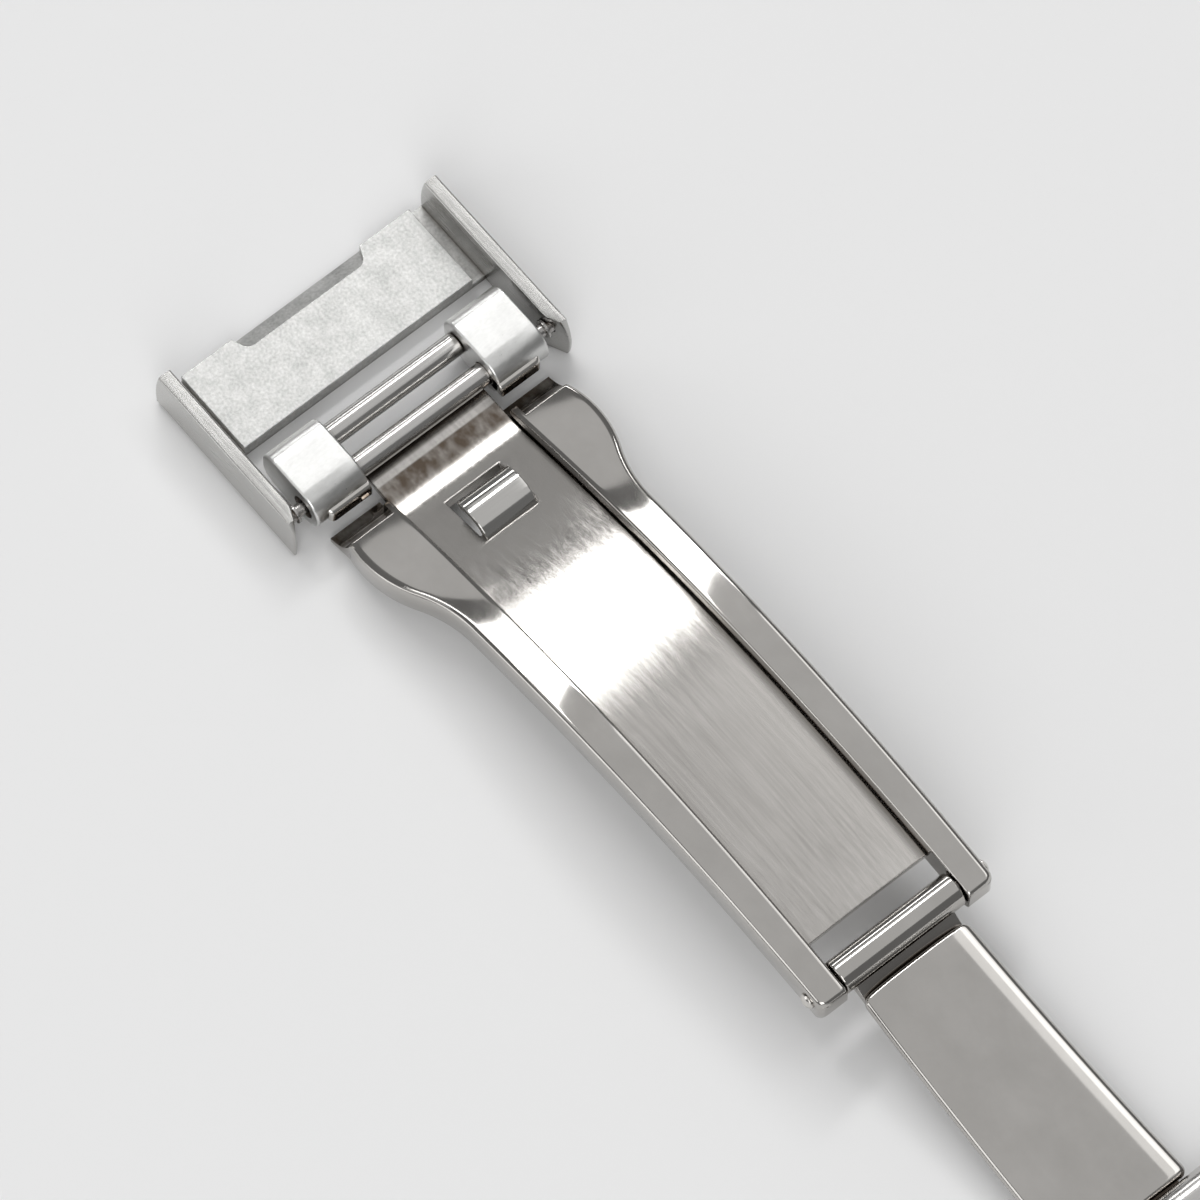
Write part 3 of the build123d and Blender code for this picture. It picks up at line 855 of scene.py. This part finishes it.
@dataclass
class Rails(Assembly):
    """The main blade's two polished bars, widened to wings at the hinge.

    Widths are counted from the clasp's middle. The foot, the cove, the wing
    and the root are points of reach and height or width. Cross sections lie
    close together up to close_end, with station_gaps behind the tongue, the
    step and close_end and before the tail's corner. The tongue_lines are the
    distances of lines of points before and beyond the tongue's edge.
    """

    inner: float = 3.9
    thickness: float = 1.8
    tail: float = 1.05
    tail_round: float = 0.6
    corner: float = 0.5
    outer_round: float = 0.3
    inner_round: float = 0.16
    ledge_round: float = 0.09
    sole: float = 0.08
    sole_share: float = 0.3
    dome: float = 0.035
    foot: Pair = (1.6, 0.52)
    cove: Pair = (2.45, 1.0)
    ledge: float = 0.32
    wing: tuple[Pair, ...] = ((3.15, 7.07), (4.9, 7.27), (7.9, 6.62))
    root: Pair = (11.4, 5.82)
    end_width: float = 5.56
    close_end: float = 12.0
    station_gaps: tuple[float, ...] = (0.05, 0.06, 0.3, 0.05)
    tongue_lines: Triple = (0.06, 1e-4, 0.02)
    tongue: Pair = (2.42, 0.38)

    def outline(self, reach: np.ndarray, end: float) -> np.ndarray:
        """Outer half width: level at the step, an arc bulging over the wing,
        a hollow arc that meets the straight bar, and a rounded tail corner."""
        bulge = on_circle(reach, arc_through(*self.wing), 1)
        bend_reach, bend_width = self.wing[-1]
        root_reach, root_width = self.root
        fall = bend_width - root_width
        hollow_radius = ((root_reach - bend_reach) ** 2 + fall**2) / (2 * fall)
        hollow = on_circle(reach, (root_reach, root_width + hollow_radius, hollow_radius), -1)
        bar = root_width + (self.end_width - root_width) * (reach - root_reach) / (end - root_reach)
        width = np.where(reach < bend_reach, bulge, np.where(reach < root_reach, hollow, bar))
        width = np.where(reach < self.wing[0][0], self.wing[0][1], width)
        return width - rounding(self.corner, end - reach)

    def stations(self, end: float) -> np.ndarray:
        """Reaches of the cross sections. Those at the tongue's end and at the
        ledge come twice, once before and once after the step."""
        tongue, step = self.tongue[0], self.wing[0][0]
        after_tongue, after_step, after_close, before_corner = self.station_gaps
        return chain(
            np.linspace(self.foot[0], tongue - HAIR, 8),
            tongue + HAIR + eased(self.ledge_round, 5),
            np.linspace(tongue + self.ledge_round + after_tongue, step - HAIR, 7),
            step + HAIR + eased(self.ledge_round, 5),
            np.linspace(step + self.ledge_round + after_step, self.close_end, 48),
            np.linspace(self.close_end + after_close, end - self.corner - before_corner, 84),
            end - np.flip(eased(self.corner, 10)),
        )

    def build_side(self, side: Side) -> None:
        """One rail: a closed cross section carried along the blade.

        The top follows the crown, drops by a quarter circle at each edge and
        is domed across by a parabola. In front of the ledge it follows the
        cove, except for the tongue beside the centre plate.

        Args:
            side: Left or right rail.
        """
        end = self.blade.pin_reach + self.tail
        reach = self.stations(end)[:, None]
        outer = self.outline(reach, end)
        tongue_edge = self.inner + self.tongue[1]
        before, after, beyond = self.tongue_lines
        beside = [tongue_edge - before, tongue_edge, tongue_edge + after]
        fixed = chain(self.inner + eased(self.inner_round, 6), beside)
        share = np.linspace(0.0, 1.0, 12)[1:]
        free = tongue_edge + beyond + share * (outer - self.outer_round - tongue_edge - beyond)
        rim = outer - np.flip(eased(self.outer_round, 8))
        across = chain(np.broadcast_to(fixed, (len(reach), len(fixed))), free, rim, axis=1)
        middle = (outer + self.inner) / 2
        top = self.blade.height(reach) - self.dome * ((across - middle) / (outer - middle)) ** 2
        top = top - rounding(self.outer_round, outer - across, np.broadcast_to(end - reach, across.shape))
        top = top - rounding(self.inner_round, across - self.inner)
        step = self.wing[0][0]
        lip = np.where(across <= tongue_edge, self.tongue[0], step)
        top = top - rounding(self.ledge_round, np.maximum(reach - lip, 0.0))
        ledge_foot = (step, self.blade.step_height - self.ledge)
        cove = on_circle(reach, arc_through(self.foot, self.cove, ledge_foot), -1)
        top = np.where(reach < lip, cove, top)
        bottom = self.blade.height(reach, self.thickness) + rounding(self.tail_round, end - reach)
        low, sole = self.sole * self.sole_share, self.sole
        y = chain(np.full_like(reach, self.inner), across, outer, outer - low, outer - sole, axis=1)
        z = chain(bottom, top, bottom + sole, bottom + low, bottom, axis=1)
        points = self.blade.points(reach, y * side.value, z)
        piece(f"polished_rail_{side.label}", f"rail_{side.label}", "main_blade", POLISHED_RAIL, points)

    def build(self) -> None:
        """Builds both rails."""
        for side in Side:
            self.build_side(side)


@dataclass
class CentrePlate(Assembly):
    """The sunk brushed sheet, its hook and its catch bridge.

    The bridge's points are reaches with their heights above the sheet, and
    bridge_lines are the distances of lines of points from its two ends.
    """

    half_width: float = 3.83
    recess: float = 0.9
    thickness: float = 0.6
    front: float = 34.9
    hook_inner: float = 0.67
    hook_outer: float = 0.99
    hook_steps: int = 14
    lip_angle: float = 213.0
    bend_end: float = 4.2
    slot: Pair = (4.18, 7.01)
    slot_half: float = 1.75
    side_strip: float = 0.07
    front_strip: float = 0.12
    rounded: float = 0.05
    bridge_half: float = 1.65
    bridge: tuple[Pair, ...] = ((5.0, 0.92), (6.1, 1.08), (7.46, 0.0))
    bridge_thickness: float = 0.34
    bridge_rim: float = 0.07
    bridge_root: float = 0.25
    bridge_lines: Triple = (0.06, 0.15, 0.02)
    dome: float = 0.12
    dome_run: float = 6.0

    def top_line(self) -> np.ndarray:
        """Upper side line: the hook's inside, a flat under the bar, a bend
        tangent to both, and the crowned sheet."""
        blade = self.blade
        floor = blade.hinge_height - self.hook_inner
        turn = np.radians(np.linspace(self.lip_angle, 270.0, self.hook_steps))
        hook = pairs(self.hook_inner * np.cos(turn), blade.hinge_height + self.hook_inner * np.sin(turn))
        slope = math.asin((blade.crown_reach - self.bend_end) / (blade.radius - self.recess))
        rise = float(blade.height(self.bend_end, self.recess)) - floor
        start = self.bend_end - rise / math.tan(slope / 2)
        radius = (self.bend_end - start) / math.sin(slope)
        turn = np.linspace(0.0, slope, 16)[1:]
        bend = pairs(start + radius * np.sin(turn), floor + radius * (1 - np.cos(turn)))
        over_slot = np.linspace(self.bend_end, self.slot[1], 12)[1:]
        ahead = np.linspace(self.slot[1], self.front - self.front_strip, 70)[1:]
        reach = chain(over_slot, ahead, [self.front])
        sheet = pairs(reach, blade.height(reach, self.recess))
        return chain(hook, [[start / 2, floor], [start, floor]], bend, sheet)

    def build_sheet(self) -> None:
        """The sheet with its hook: the upper side line and its offset below
        are carried across, and the cells over the slot are left out. The
        sheet is domed across by a parabola, which grows over a run."""
        upper = self.top_line()
        hook = self.hook_outer - self.hook_inner
        thick = np.full(len(upper), self.thickness)
        thick[: self.hook_steps] = hook
        thick[self.hook_steps : self.hook_steps + 2] = np.linspace(hook, self.thickness, 4)[1:3]
        lower = upper + outward(np.gradient(upper, axis=0)) * thick[:, None]
        edge = self.half_width
        beside = np.linspace(self.slot_half, edge - self.side_strip, 7)[1:]
        half = chain(np.linspace(0.0, self.slot_half, 5)[1:], beside, [edge])
        across = chain(-half[::-1], [0.0], half)
        grids = []
        for line in (upper, lower):
            share = np.clip((line[:, :1] - self.bend_end) / self.dome_run, 0.0, 1.0)
            height = line[:, 1:] - self.dome * share * (across / edge) ** 2
            grids.append(self.blade.points(line[:, :1], across, height))
        middle_x = (upper[1:, 0] + upper[:-1, 0]) / 2
        middle_y = (across[1:] + across[:-1]) / 2
        in_slot = (middle_x > self.slot[0]) & (middle_x < self.slot[1])
        faces = slab_faces(~(in_slot[:, None] & (np.abs(middle_y) < self.slot_half)))
        points = chain(*grids)
        name = "brushed_centre_plate"
        piece(name, "centre_plate", "main_blade", BRUSHED_PLATE, points, faces, self.rounded)

    def build_bridge(self) -> None:
        """The catch bridge: an arched strip pressed up out of the slot, its
        top line an arc through mouth, crest and foot, carried across. At its
        rims it is drawn in away from its middle."""
        line = [(x, float(self.blade.height(x, self.recess)) + lift) for x, lift in self.bridge]
        circle = arc_through(*line)
        first, last = line[0][0], line[2][0]
        near, far, foot = self.bridge_lines
        reach = chain([first, first + near], np.linspace(first + far, last - foot, 22), [last])
        top = pairs(reach, on_circle(reach, circle, 1))
        centre = np.array(circle[:2])
        under = centre + (top - centre) * (1 - self.bridge_thickness / circle[2])
        under[:, 1] = np.maximum(under[:, 1], self.blade.height(under[:, 0], self.recess + self.bridge_root))
        ring = chain(top, under[::-1])
        rim = eased(self.bridge_rim, 5)
        inset = chain(rim, [self.bridge_half], 2 * self.bridge_half - np.flip(rim))
        shrink = rounding(self.bridge_rim, np.minimum(inset, 2 * self.bridge_half - inset))
        push = ring - ring.mean(axis=0)
        push /= np.linalg.norm(push, axis=1)[:, None]
        rings = ring[None] - push[None] * shrink[:, None, None]
        points = self.blade.points(rings[..., 0], (inset - self.bridge_half)[:, None], rings[..., 1])
        piece("catch_bridge", "centre_plate", "main_blade", BRIGHT_ACROSS, points)

    def build(self) -> None:
        """Builds the sheet and the bridge."""
        self.build_sheet()
        self.build_bridge()


@dataclass
class Cover(Assembly):
    """The channel-shaped cover.

    Its floor with the thumb recess and its two walls are milled from one
    block, so they meet in the grooves at the walls' feet. Pairs of sizes
    are reaches of the rear and front ends. The taper is the reach where an
    ear starts to thin and its slope.
    """

    top_ends: Pair = (-9.75, 0.7)
    feet: Pair = (-10.05, 1.0)
    bulges: Pair = (-10.09, 1.12)
    bulge_height: float = 1.5
    height: float = 3.35
    inner: float = 8.2
    outer: float = 9.0
    rim: float = 0.13
    back_bevel: float = 0.35
    taper: Pair = (-0.1, 0.5)
    hole: float = 0.44
    hole_depth: float = 0.6
    floor_ends: Pair = (-10.0, -4.87)
    floor_half: float = 7.4
    floor_top: float = 1.0
    groove_top: float = 0.4
    recess: float = 0.95
    recess_half: float = 3.75
    recess_flare: float = 0.4
    recess_drop: float = 0.62
    recess_round: float = 0.35
    recess_gap: float = 0.1
    wall_overlap: float = 0.02
    rounded: float = 0.05

    def wall_outline(self) -> np.ndarray:
        """Side view outline of a wall: a straight foot and top, and an arc
        bulging through a middle point at each end."""
        rise = np.linspace(0.0, self.height, 18)
        ends = []
        for top, bulge, foot, way in zip(self.top_ends, self.bulges, self.feet, (-1, 1)):
            x, z, radius = arc_through((top, self.height), (bulge, self.bulge_height), (foot, 0.0))
            ends.append(pairs(x + way * np.sqrt(radius**2 - (rise - z) ** 2), rise))
        top = np.linspace(self.top_ends[1], self.top_ends[0], 30)[1:-1]
        foot = np.linspace(*self.feet, 30)[1:-1]
        rear, front = ends
        level, table = pairs(top, np.full_like(top, self.height)), pairs(foot, np.zeros_like(foot))
        return chain(front, level, rear[::-1], table)

    def thinning(self, x: np.ndarray) -> np.ndarray:
        """How far an ear's inner face moves outwards at places along X in
        metres: the taper's slope times how far each lies beyond its start."""
        start, slope = self.taper
        return slope * np.clip(x / MM - self.blade.hinge_x - start, 0.0, None)

    def build_wall(self, side: Side) -> None:
        """One wall: its outline carried across, with rounded rims, a bevel
        along the back, a thinned ear and the blind hole for the bar's tip.

        The ear's points move outwards by a share that falls to none at the
        outer face.

        Args:
            side: Left or right wall.
        """
        ring = self.wall_outline()
        rim = eased(self.rim, 5)
        bevel_start = self.outer - self.back_bevel
        places = chain(self.inner + rim, [bevel_start], self.outer - np.flip(rim))
        shrink = rounding(self.rim, np.minimum(places - self.inner, self.outer - places))
        shell = self.blade.carried(ring, places, shrink)
        rise = np.maximum(shell[..., 1] / MM - bevel_start, 0.0) * MM
        low_part = shell[..., 2] < self.back_bevel * MM
        shell[..., 2] = np.where(low_part, np.maximum(shell[..., 2], rise), shell[..., 2])
        share = (self.outer - shell[..., 1] / MM) / (self.outer - self.inner)
        shell[..., 1] += self.thinning(shell[..., 0]) * share * MM
        angle = np.arctan2(ring[:, 1] - self.blade.hinge_height, ring[:, 0])
        circle = unit_circle(angle) * self.hole + [0.0, self.blade.hinge_height]
        hole = self.blade.carried(circle, np.array([self.inner + self.hole_depth, self.inner]))
        hole[1, :, 1] += self.thinning(hole[1, :, 0]) * MM
        rings = chain(hole, shell)
        rings[..., 1] *= side.value
        piece(f"cover_wall_{side.label}", "cover", "cover", BRUSHED_WALL, rings)

    def build_floor(self) -> None:
        """The floor: a slab on a grid whose columns follow the recess.

        The recess falls in a plane towards the rear rim, and its half width
        grows with it, less a quarter circle at its inner corners.
        """
        start = self.floor_ends[0] + self.recess
        in_recess = start - np.flip(eased(self.recess_round, 8))
        rear = np.linspace(self.floor_ends[0], in_recess[0] - self.recess_gap, 6)
        ahead = np.linspace(start + self.recess_gap, self.floor_ends[1], 16)
        reach = chain(rear, in_recess, ahead)[:, None]
        fall = np.clip((start - reach) / self.recess, 0.0, None)
        border = self.recess_half + self.recess_flare * fall
        corner = rounding(self.recess_round, np.maximum(start - reach, 0.0))
        border = border - np.where(reach <= start, corner, 0.0)
        border = np.where(reach > start, self.recess_half - self.recess_round, border)
        share = np.linspace(0.0, 1.0, 7)
        groove = np.broadcast_to([[self.floor_half + HAIR, self.inner + self.wall_overlap]], (len(reach), 2))
        half = chain(share[1:] * (border - HAIR), border + (self.floor_half - border) * share, groove, axis=1)
        across = chain(-half[:, ::-1], np.zeros_like(reach), half, axis=1)
        lowered = np.abs(across) < border - HAIR / 2
        top = self.floor_top - np.where(lowered, self.recess_drop * fall, 0.0)
        top = np.where(np.abs(across) > self.floor_half + HAIR / 2, self.groove_top, top)
        points = chain(*(self.blade.points(reach, across, height) for height in (top, np.zeros_like(top))))
        faces = slab_faces(np.ones((across.shape[0] - 1, across.shape[1] - 1), bool))
        piece("cover_floor", "cover", "cover", BLASTED, points, faces, self.rounded)

    def build(self) -> None:
        """Builds the floor and both walls."""
        self.build_floor()
        for side in Side:
            self.build_wall(side)


@dataclass(frozen=True)
class Bar:
    """One spring bar.

    Attributes:
        name: Start of its nodes' names.
        body: CAD body that its tube and spring ride on.
        reach: Place of its axis.
        half: Half length of its tube.
        coil_half: Half length of its spring.
        turns: Turns of each half of the spring.
    """

    name: str
    body: str
    reach: float
    half: float
    coil_half: float
    turns: int


@dataclass
class SpringBars(Assembly):
    """Tubes and springs of the hinge bar and the strap bar.

    Attributes:
        radius: Outer radius of both tubes.
        mouth: Radius of the lipped mouth that a tip slides in.
        bore: Radius of the bore behind the lip.
        lip: Length of the lip.
        edge: Radius of the end rims.
        coil: Radius of the springs' coil.
        wire: Radius of their wire.
        travel: How far each tip slides in; not used.
        bars: Both bars.
    """

    radius: float = 0.65
    mouth: float = 0.39
    bore: float = 0.45
    lip: float = 0.15
    edge: float = 0.06
    coil: float = 0.33
    wire: float = 0.065
    travel: float = 0.6
    bars: tuple[Bar, ...] = (
        Bar("hinge_bar", "main_blade", 0.0, 7.35, 4.362, 16),
        Bar("strap_bar", "extension_link", -2.2, 4.15, 2.41, 9),
    )

    def build_tube(self, bar: Bar) -> None:
        """Turns a bar's tube, with rounded rims and a lipped bore.

        Args:
            bar: The bar.
        """
        rim = eased(self.edge, 5)
        outer = pairs(bar.half - rim, self.radius - rounding(self.edge, rim))
        lip = bar.half - self.lip
        half = chain(outer[::-1], [[bar.half, self.mouth], [lip, self.mouth], [lip, self.bore]])
        tube = self.blade.turned(bar.reach, self.blade.hinge_height, half)
        piece(f"{bar.name}_sleeve", f"{bar.name}_tube", bar.body, BRUSHED_BAR, *tube)

    def build_spring(self, bar: Bar, side: Side) -> None:
        """Half of a bar's spring, pressed towards the middle by its tip.

        The wire's middle line is a helix: radius times cosine and sine of
        the turn, with a pitch along Y. The wire is a circle about it in the
        plane of the radius and of the line square to radius and helix.

        Args:
            bar: The bar.
            side: Left or right half.
        """
        turn = np.linspace(0.0, FULL_TURN * bar.turns, 24 * bar.turns + 1) * side.value
        pitch = (bar.coil_half - self.wire) / (FULL_TURN * bar.turns)
        none = np.zeros_like(turn)
        radial = pairs(np.cos(turn), none, np.sin(turn))
        along = pairs(-self.coil * np.sin(turn), none + pitch, self.coil * np.cos(turn))
        square = np.cross(along / np.linalg.norm(along, axis=1)[:, None], radial)
        middle = radial * self.coil + pairs(none, pitch * turn, none)
        around = np.linspace(0.0, FULL_TURN, 10, endpoint=False)[None, :, None]
        circle = np.cos(around) * radial[:, None] + np.sin(around) * square[:, None]
        ring = middle[:, None] + self.wire * circle
        centre = np.array([self.blade.hinge_x + bar.reach, 0.0, self.blade.hinge_height])
        name = f"{bar.name}_coil_{side.label}"
        spring = piece(name, f"{bar.name}_spring", bar.body, SPRING, (ring + centre) * MM)
        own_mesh(spring)

    def build(self) -> None:
        """Builds both tubes and the halves of both springs."""
        for bar in self.bars:
            self.build_tube(bar)
            for side in Side:
                self.build_spring(bar, side)


@dataclass
class LinkBlocks(Assembly):
    """The extension link's two satin blocks with their lips."""

    inner: float = 4.2
    outer: float = 7.5
    radius: float = 1.35
    shoulder: float = 0.15
    rear: float = 3.3
    rear_round: float = 1.05
    rim: float = 0.14
    hole: float = 0.69
    lip_root: float = 0.5
    lip_top: float = 0.45
    lip_reach: float = 1.46
    lip_bottom: float = 0.55
    lip_width: float = 2.6
    lip_round: float = 0.3
    lip_fall: float = 0.4
    lip_nose: float = 0.1
    lip_rim: float = 0.08

    def outline(self) -> np.ndarray:
        """Side view outline about the hinge bar: straight top and bottom, a
        half circle at the nose and a smaller rounding at both rear corners."""
        nose = np.radians(np.linspace(-90.0, 90.0, 40))
        front = pairs(self.radius * np.cos(nose) - self.shoulder, self.radius * np.sin(nose))
        level = self.radius - self.rear_round
        back = self.rear_round - self.rear
        turn = np.radians(np.linspace(90.0, 180.0, 14))
        upper = pairs(back + self.rear_round * np.cos(turn), level + self.rear_round * np.sin(turn))
        middle = np.linspace(-self.shoulder, back, 8)[1:-1]
        top = pairs(middle, np.full_like(middle, self.radius))
        return chain(front, top, upper, (upper * [1.0, -1.0])[::-1], (top * [1.0, -1.0])[::-1])

    def build_block(self, side: Side) -> None:
        """One block: the outline carried across with rounded rims, closed by
        side faces that run in to the hinge bar's hole.

        Args:
            side: Left or right block.
        """
        ring = self.outline()
        lift = np.array([0.0, self.blade.hinge_height])
        places, shrink = rimmed(self.inner, self.outer, self.rim)
        shell = self.blade.carried(ring + lift, places * side.value, shrink)
        hole = unit_circle(np.arctan2(ring[:, 1], ring[:, 0])) * self.hole + lift
        mouths = self.blade.carried(hole, np.array([self.outer, self.inner]) * side.value)
        rings = chain(shell, mouths)
        faces = ring_faces(*rings.shape[:2], looped=True)
        piece(f"satin_block_{side.label}", f"link_block_{side.label}", "extension_link", SATIN, rings, faces)

    def build_lip(self, side: Side) -> None:
        """The lip across the nose: a rounded bar's outline carried across.

        Its reach shrinks by a quarter circle towards a round end short of
        the block's outer face.

        Args:
            side: Left or right lip.
        """
        low = (-90.0, self.lip_nose, self.lip_nose - self.lip_bottom)
        high = (0.0, self.lip_fall, self.lip_top - self.lip_fall)
        rounds = []
        for start, radius, level in (low, high):
            turn = np.radians(np.linspace(start, start + 90.0, 12))
            reach = self.lip_reach - radius + radius * np.cos(turn)
            rounds.append(pairs(reach, level + radius * np.sin(turn)))
        ring = chain([[self.lip_root, -self.lip_bottom]], *rounds, [[self.lip_root, self.lip_top]])
        end = self.inner + self.lip_width
        places = chain(self.inner + eased(self.lip_rim, 4), end - np.flip(eased(self.lip_round, 8)))
        points = self.blade.carried(ring + [0.0, self.blade.hinge_height], places * side.value)
        root = (self.blade.hinge_x + self.lip_root) * MM
        drop = rounding(self.lip_rim, places - self.inner) + rounding(self.lip_round, end - places)
        kept = 1 - drop / (self.lip_reach - self.lip_root)
        points[..., 0] = root + (points[..., 0] - root) * kept[:, None]
        # The lip wears the lighter copy of polished steel, a painted highlight.
        piece(f"block_lip_{side.label}", f"link_block_{side.label}", "extension_link", HIGHLIGHTED_ENDS, points)

    def build(self) -> None:
        """Builds both blocks and their lips."""
        for side in Side:
            self.build_block(side)
            self.build_lip(side)


@dataclass
class ShortBlade(Assembly):
    """The rolled core sheet, the cap plate, the hinge pin and the strap tube.

    The pin's height is midway through the rails. The seam is a pair of
    angles, and widths are the cap's half widths at its start and end. The
    core's foot and neck are points from below the barrel's middle. It tucks
    into the strap tube, and lies a seat below the cap.
    """

    pin_drop: float = 0.9
    radius: float = 83.0
    cap_start: float = 1.45
    cap_drop: float = 0.3
    cap_end: float = 17.9
    end_height: float = 1.8
    cap_thickness: float = 0.6
    widths: Pair = (3.35, 3.8)
    edge: float = 0.3
    corner: float = 0.45
    corner_gap: float = 0.3
    dome: float = 0.2
    core_thickness: float = 0.5
    core_half: float = 3.15
    core_rim: float = 0.05
    core_seat: float = 0.01
    core_tuck: float = 0.12
    core_foot: Pair = (0.1, 0.02)
    core_neck: tuple[Pair, ...] = ((0.84, 0.5), (0.6, 0.3))
    barrel: float = 0.95
    barrel_half: float = 3.8
    barrel_bore: float = 0.48
    barrel_rim: float = 0.12
    seam: Pair = (-29.0, -24.0)
    pin_radius: float = 0.45
    pin_half: float = 5.86
    pin_dome: float = 0.2
    tube_gap: float = 0.1
    tube_radius: float = 1.2
    tube_bore: float = 0.8
    tube_half: float = 8.0
    tube_rim: float = 0.14

    @property
    def pin_height(self) -> float:
        """Height of the hinge pin's axis."""
        return float(self.blade.height(self.blade.pin_reach, self.pin_drop))

    def line(self, reach: np.ndarray, drop: float) -> np.ndarray:
        """Height of the surface that lies drop below the cap's hollow top: an
        arc about a centre above the chord from the cap's start to its end."""
        pin = self.blade.pin_reach
        start = np.array([pin + self.cap_start, self.pin_height - self.cap_drop])
        end = np.array([pin + self.cap_end, self.end_height])
        chord = end - start
        length = np.linalg.norm(chord)
        rise = math.sqrt(self.radius**2 - (length / 2) ** 2)
        centre = (start + end) / 2 + np.array([-chord[1], chord[0]]) / length * rise
        return centre[1] - np.sqrt((self.radius + drop) ** 2 - (reach - centre[0]) ** 2)

    def build_cap(self) -> None:
        """The cap plate: a cross section carried along the arc, wider towards
        the strap, with rounded edges, ends and corners. It is domed across
        by the third power of the share of its half width."""
        start = self.blade.pin_reach + self.cap_start
        end = self.blade.pin_reach + self.cap_end
        corner = eased(self.corner, 9)
        flat = self.corner + self.corner_gap
        middle = np.linspace(start + flat, end - flat, 50)
        reach = chain(start + corner, middle, end - np.flip(corner))[:, None]
        near = np.minimum(reach - start, end - reach)
        half = self.widths[0] + (self.widths[1] - self.widths[0]) * (reach - start) / (end - start)
        half = half - rounding(self.corner, near)
        rim = np.flip(eased(self.edge, 8))
        share = np.linspace(-1.0, 1.0, 21)[1:-1]
        across = chain(rim[::-1] - half, share * (half - self.edge), half - rim, axis=1)
        top = self.line(reach, 0.0) - self.dome * np.abs(across / half) ** 3
        top = top - rounding(self.edge, half - np.abs(across), np.broadcast_to(near, across.shape))
        bottom = self.line(reach, self.cap_thickness)
        y, z = chain(-half, across, half, axis=1), chain(bottom, top, bottom, axis=1)
        points = self.blade.points(reach, y, z)
        piece("polished_cap", "short_blade_cap", "short_blade", POLISHED, points)

    def build_roll(self) -> None:
        """The barrel rolled from the core's sheet: a ring cut open by a fine
        seam, its side view outline carried across with rounded rims."""
        low, high = self.seam
        circle = unit_circle(np.radians(np.linspace(high, 360.0 + low, 80)))
        ring = chain(circle * self.barrel, circle[::-1] * self.barrel_bore)
        ring = ring + [self.blade.pin_reach, self.pin_height]
        points = self.blade.carried(ring, *rimmed(-self.barrel_half, self.barrel_half, self.barrel_rim))
        piece("rolled_barrel", "short_blade_core", "short_blade", POLISHED, points)

    def build_pin(self) -> None:
        """The hinge pin with domed ends, each an arc of one circle."""
        radius = (self.pin_radius**2 + self.pin_dome**2) / (2 * self.pin_dome)
        rise = np.linspace(0.0, self.pin_radius, 10)
        half = pairs(self.pin_half - radius + np.sqrt(radius**2 - rise**2), rise)
        pin = self.blade.turned(self.blade.pin_reach, self.pin_height, half)
        # The pin wears the lighter copy of polished steel, a painted highlight.
        piece("hinge_pin_domed", "hinge_pin", "main_blade", HIGHLIGHTED_ENDS, *pin)

    def build_core(self) -> None:
        """The core sheet below the cap: its side view outline, from under the
        barrel along the cap's arc to the strap tube, carried across."""
        pin = self.blade.pin_reach
        reach = np.linspace(pin + self.cap_start, pin + self.cap_end + self.tube_gap + self.core_tuck, 40)
        foot = self.pin_height - self.barrel
        lower = pairs(reach, self.line(reach, self.cap_thickness + self.core_thickness))
        upper = pairs(reach, self.line(reach, self.cap_thickness + self.core_seat))[::-1]
        start, *neck = ([pin + x, foot + z] for x, z in (self.core_foot, *self.core_neck))
        ring = chain([start], lower, upper, neck)
        points = self.blade.carried(ring, *rimmed(-self.core_half, self.core_half, self.core_rim, 3))
        piece("core_sheet", "short_blade_core", "short_blade", POLISHED, points)

    def build_tube(self) -> None:
        """The strap tube: a bored tube with rounded rims."""
        rim = eased(self.tube_rim, 6)
        outer = pairs(self.tube_half - rim, self.tube_radius - rounding(self.tube_rim, rim))
        half = chain(outer[::-1], [[self.tube_half, self.tube_bore]])
        reach = self.blade.pin_reach + self.cap_end + self.tube_gap + self.tube_radius
        tube = self.blade.turned(reach, self.tube_radius, half)
        piece("strap_tube_sleeve", "strap_tube", "short_blade", BRUSHED_BAR, *tube)

    def build(self) -> None:
        """Builds all five pieces."""
        for build_one in (self.build_cap, self.build_roll, self.build_pin, self.build_core, self.build_tube):
            build_one()


def dress_tips() -> None:
    """Dresses every CAD node that shows, which are the bars' four tips."""
    for name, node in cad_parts.items():
        if not node.hide_render:
            dress(node, SPRING)
            log.info("node %s", name)


def main() -> None:
    """Builds the studio and the clasp."""
    logging.basicConfig(level=logging.INFO, format="%(name)s: %(message)s")
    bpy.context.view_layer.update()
    Studio().build()
    blade = Blade()
    for assembly in (Rails, CentrePlate, Cover, SpringBars, LinkBlocks, ShortBlade):
        assembly(blade).build()
    dress_tips()


if __name__ == "__main__":
    main()
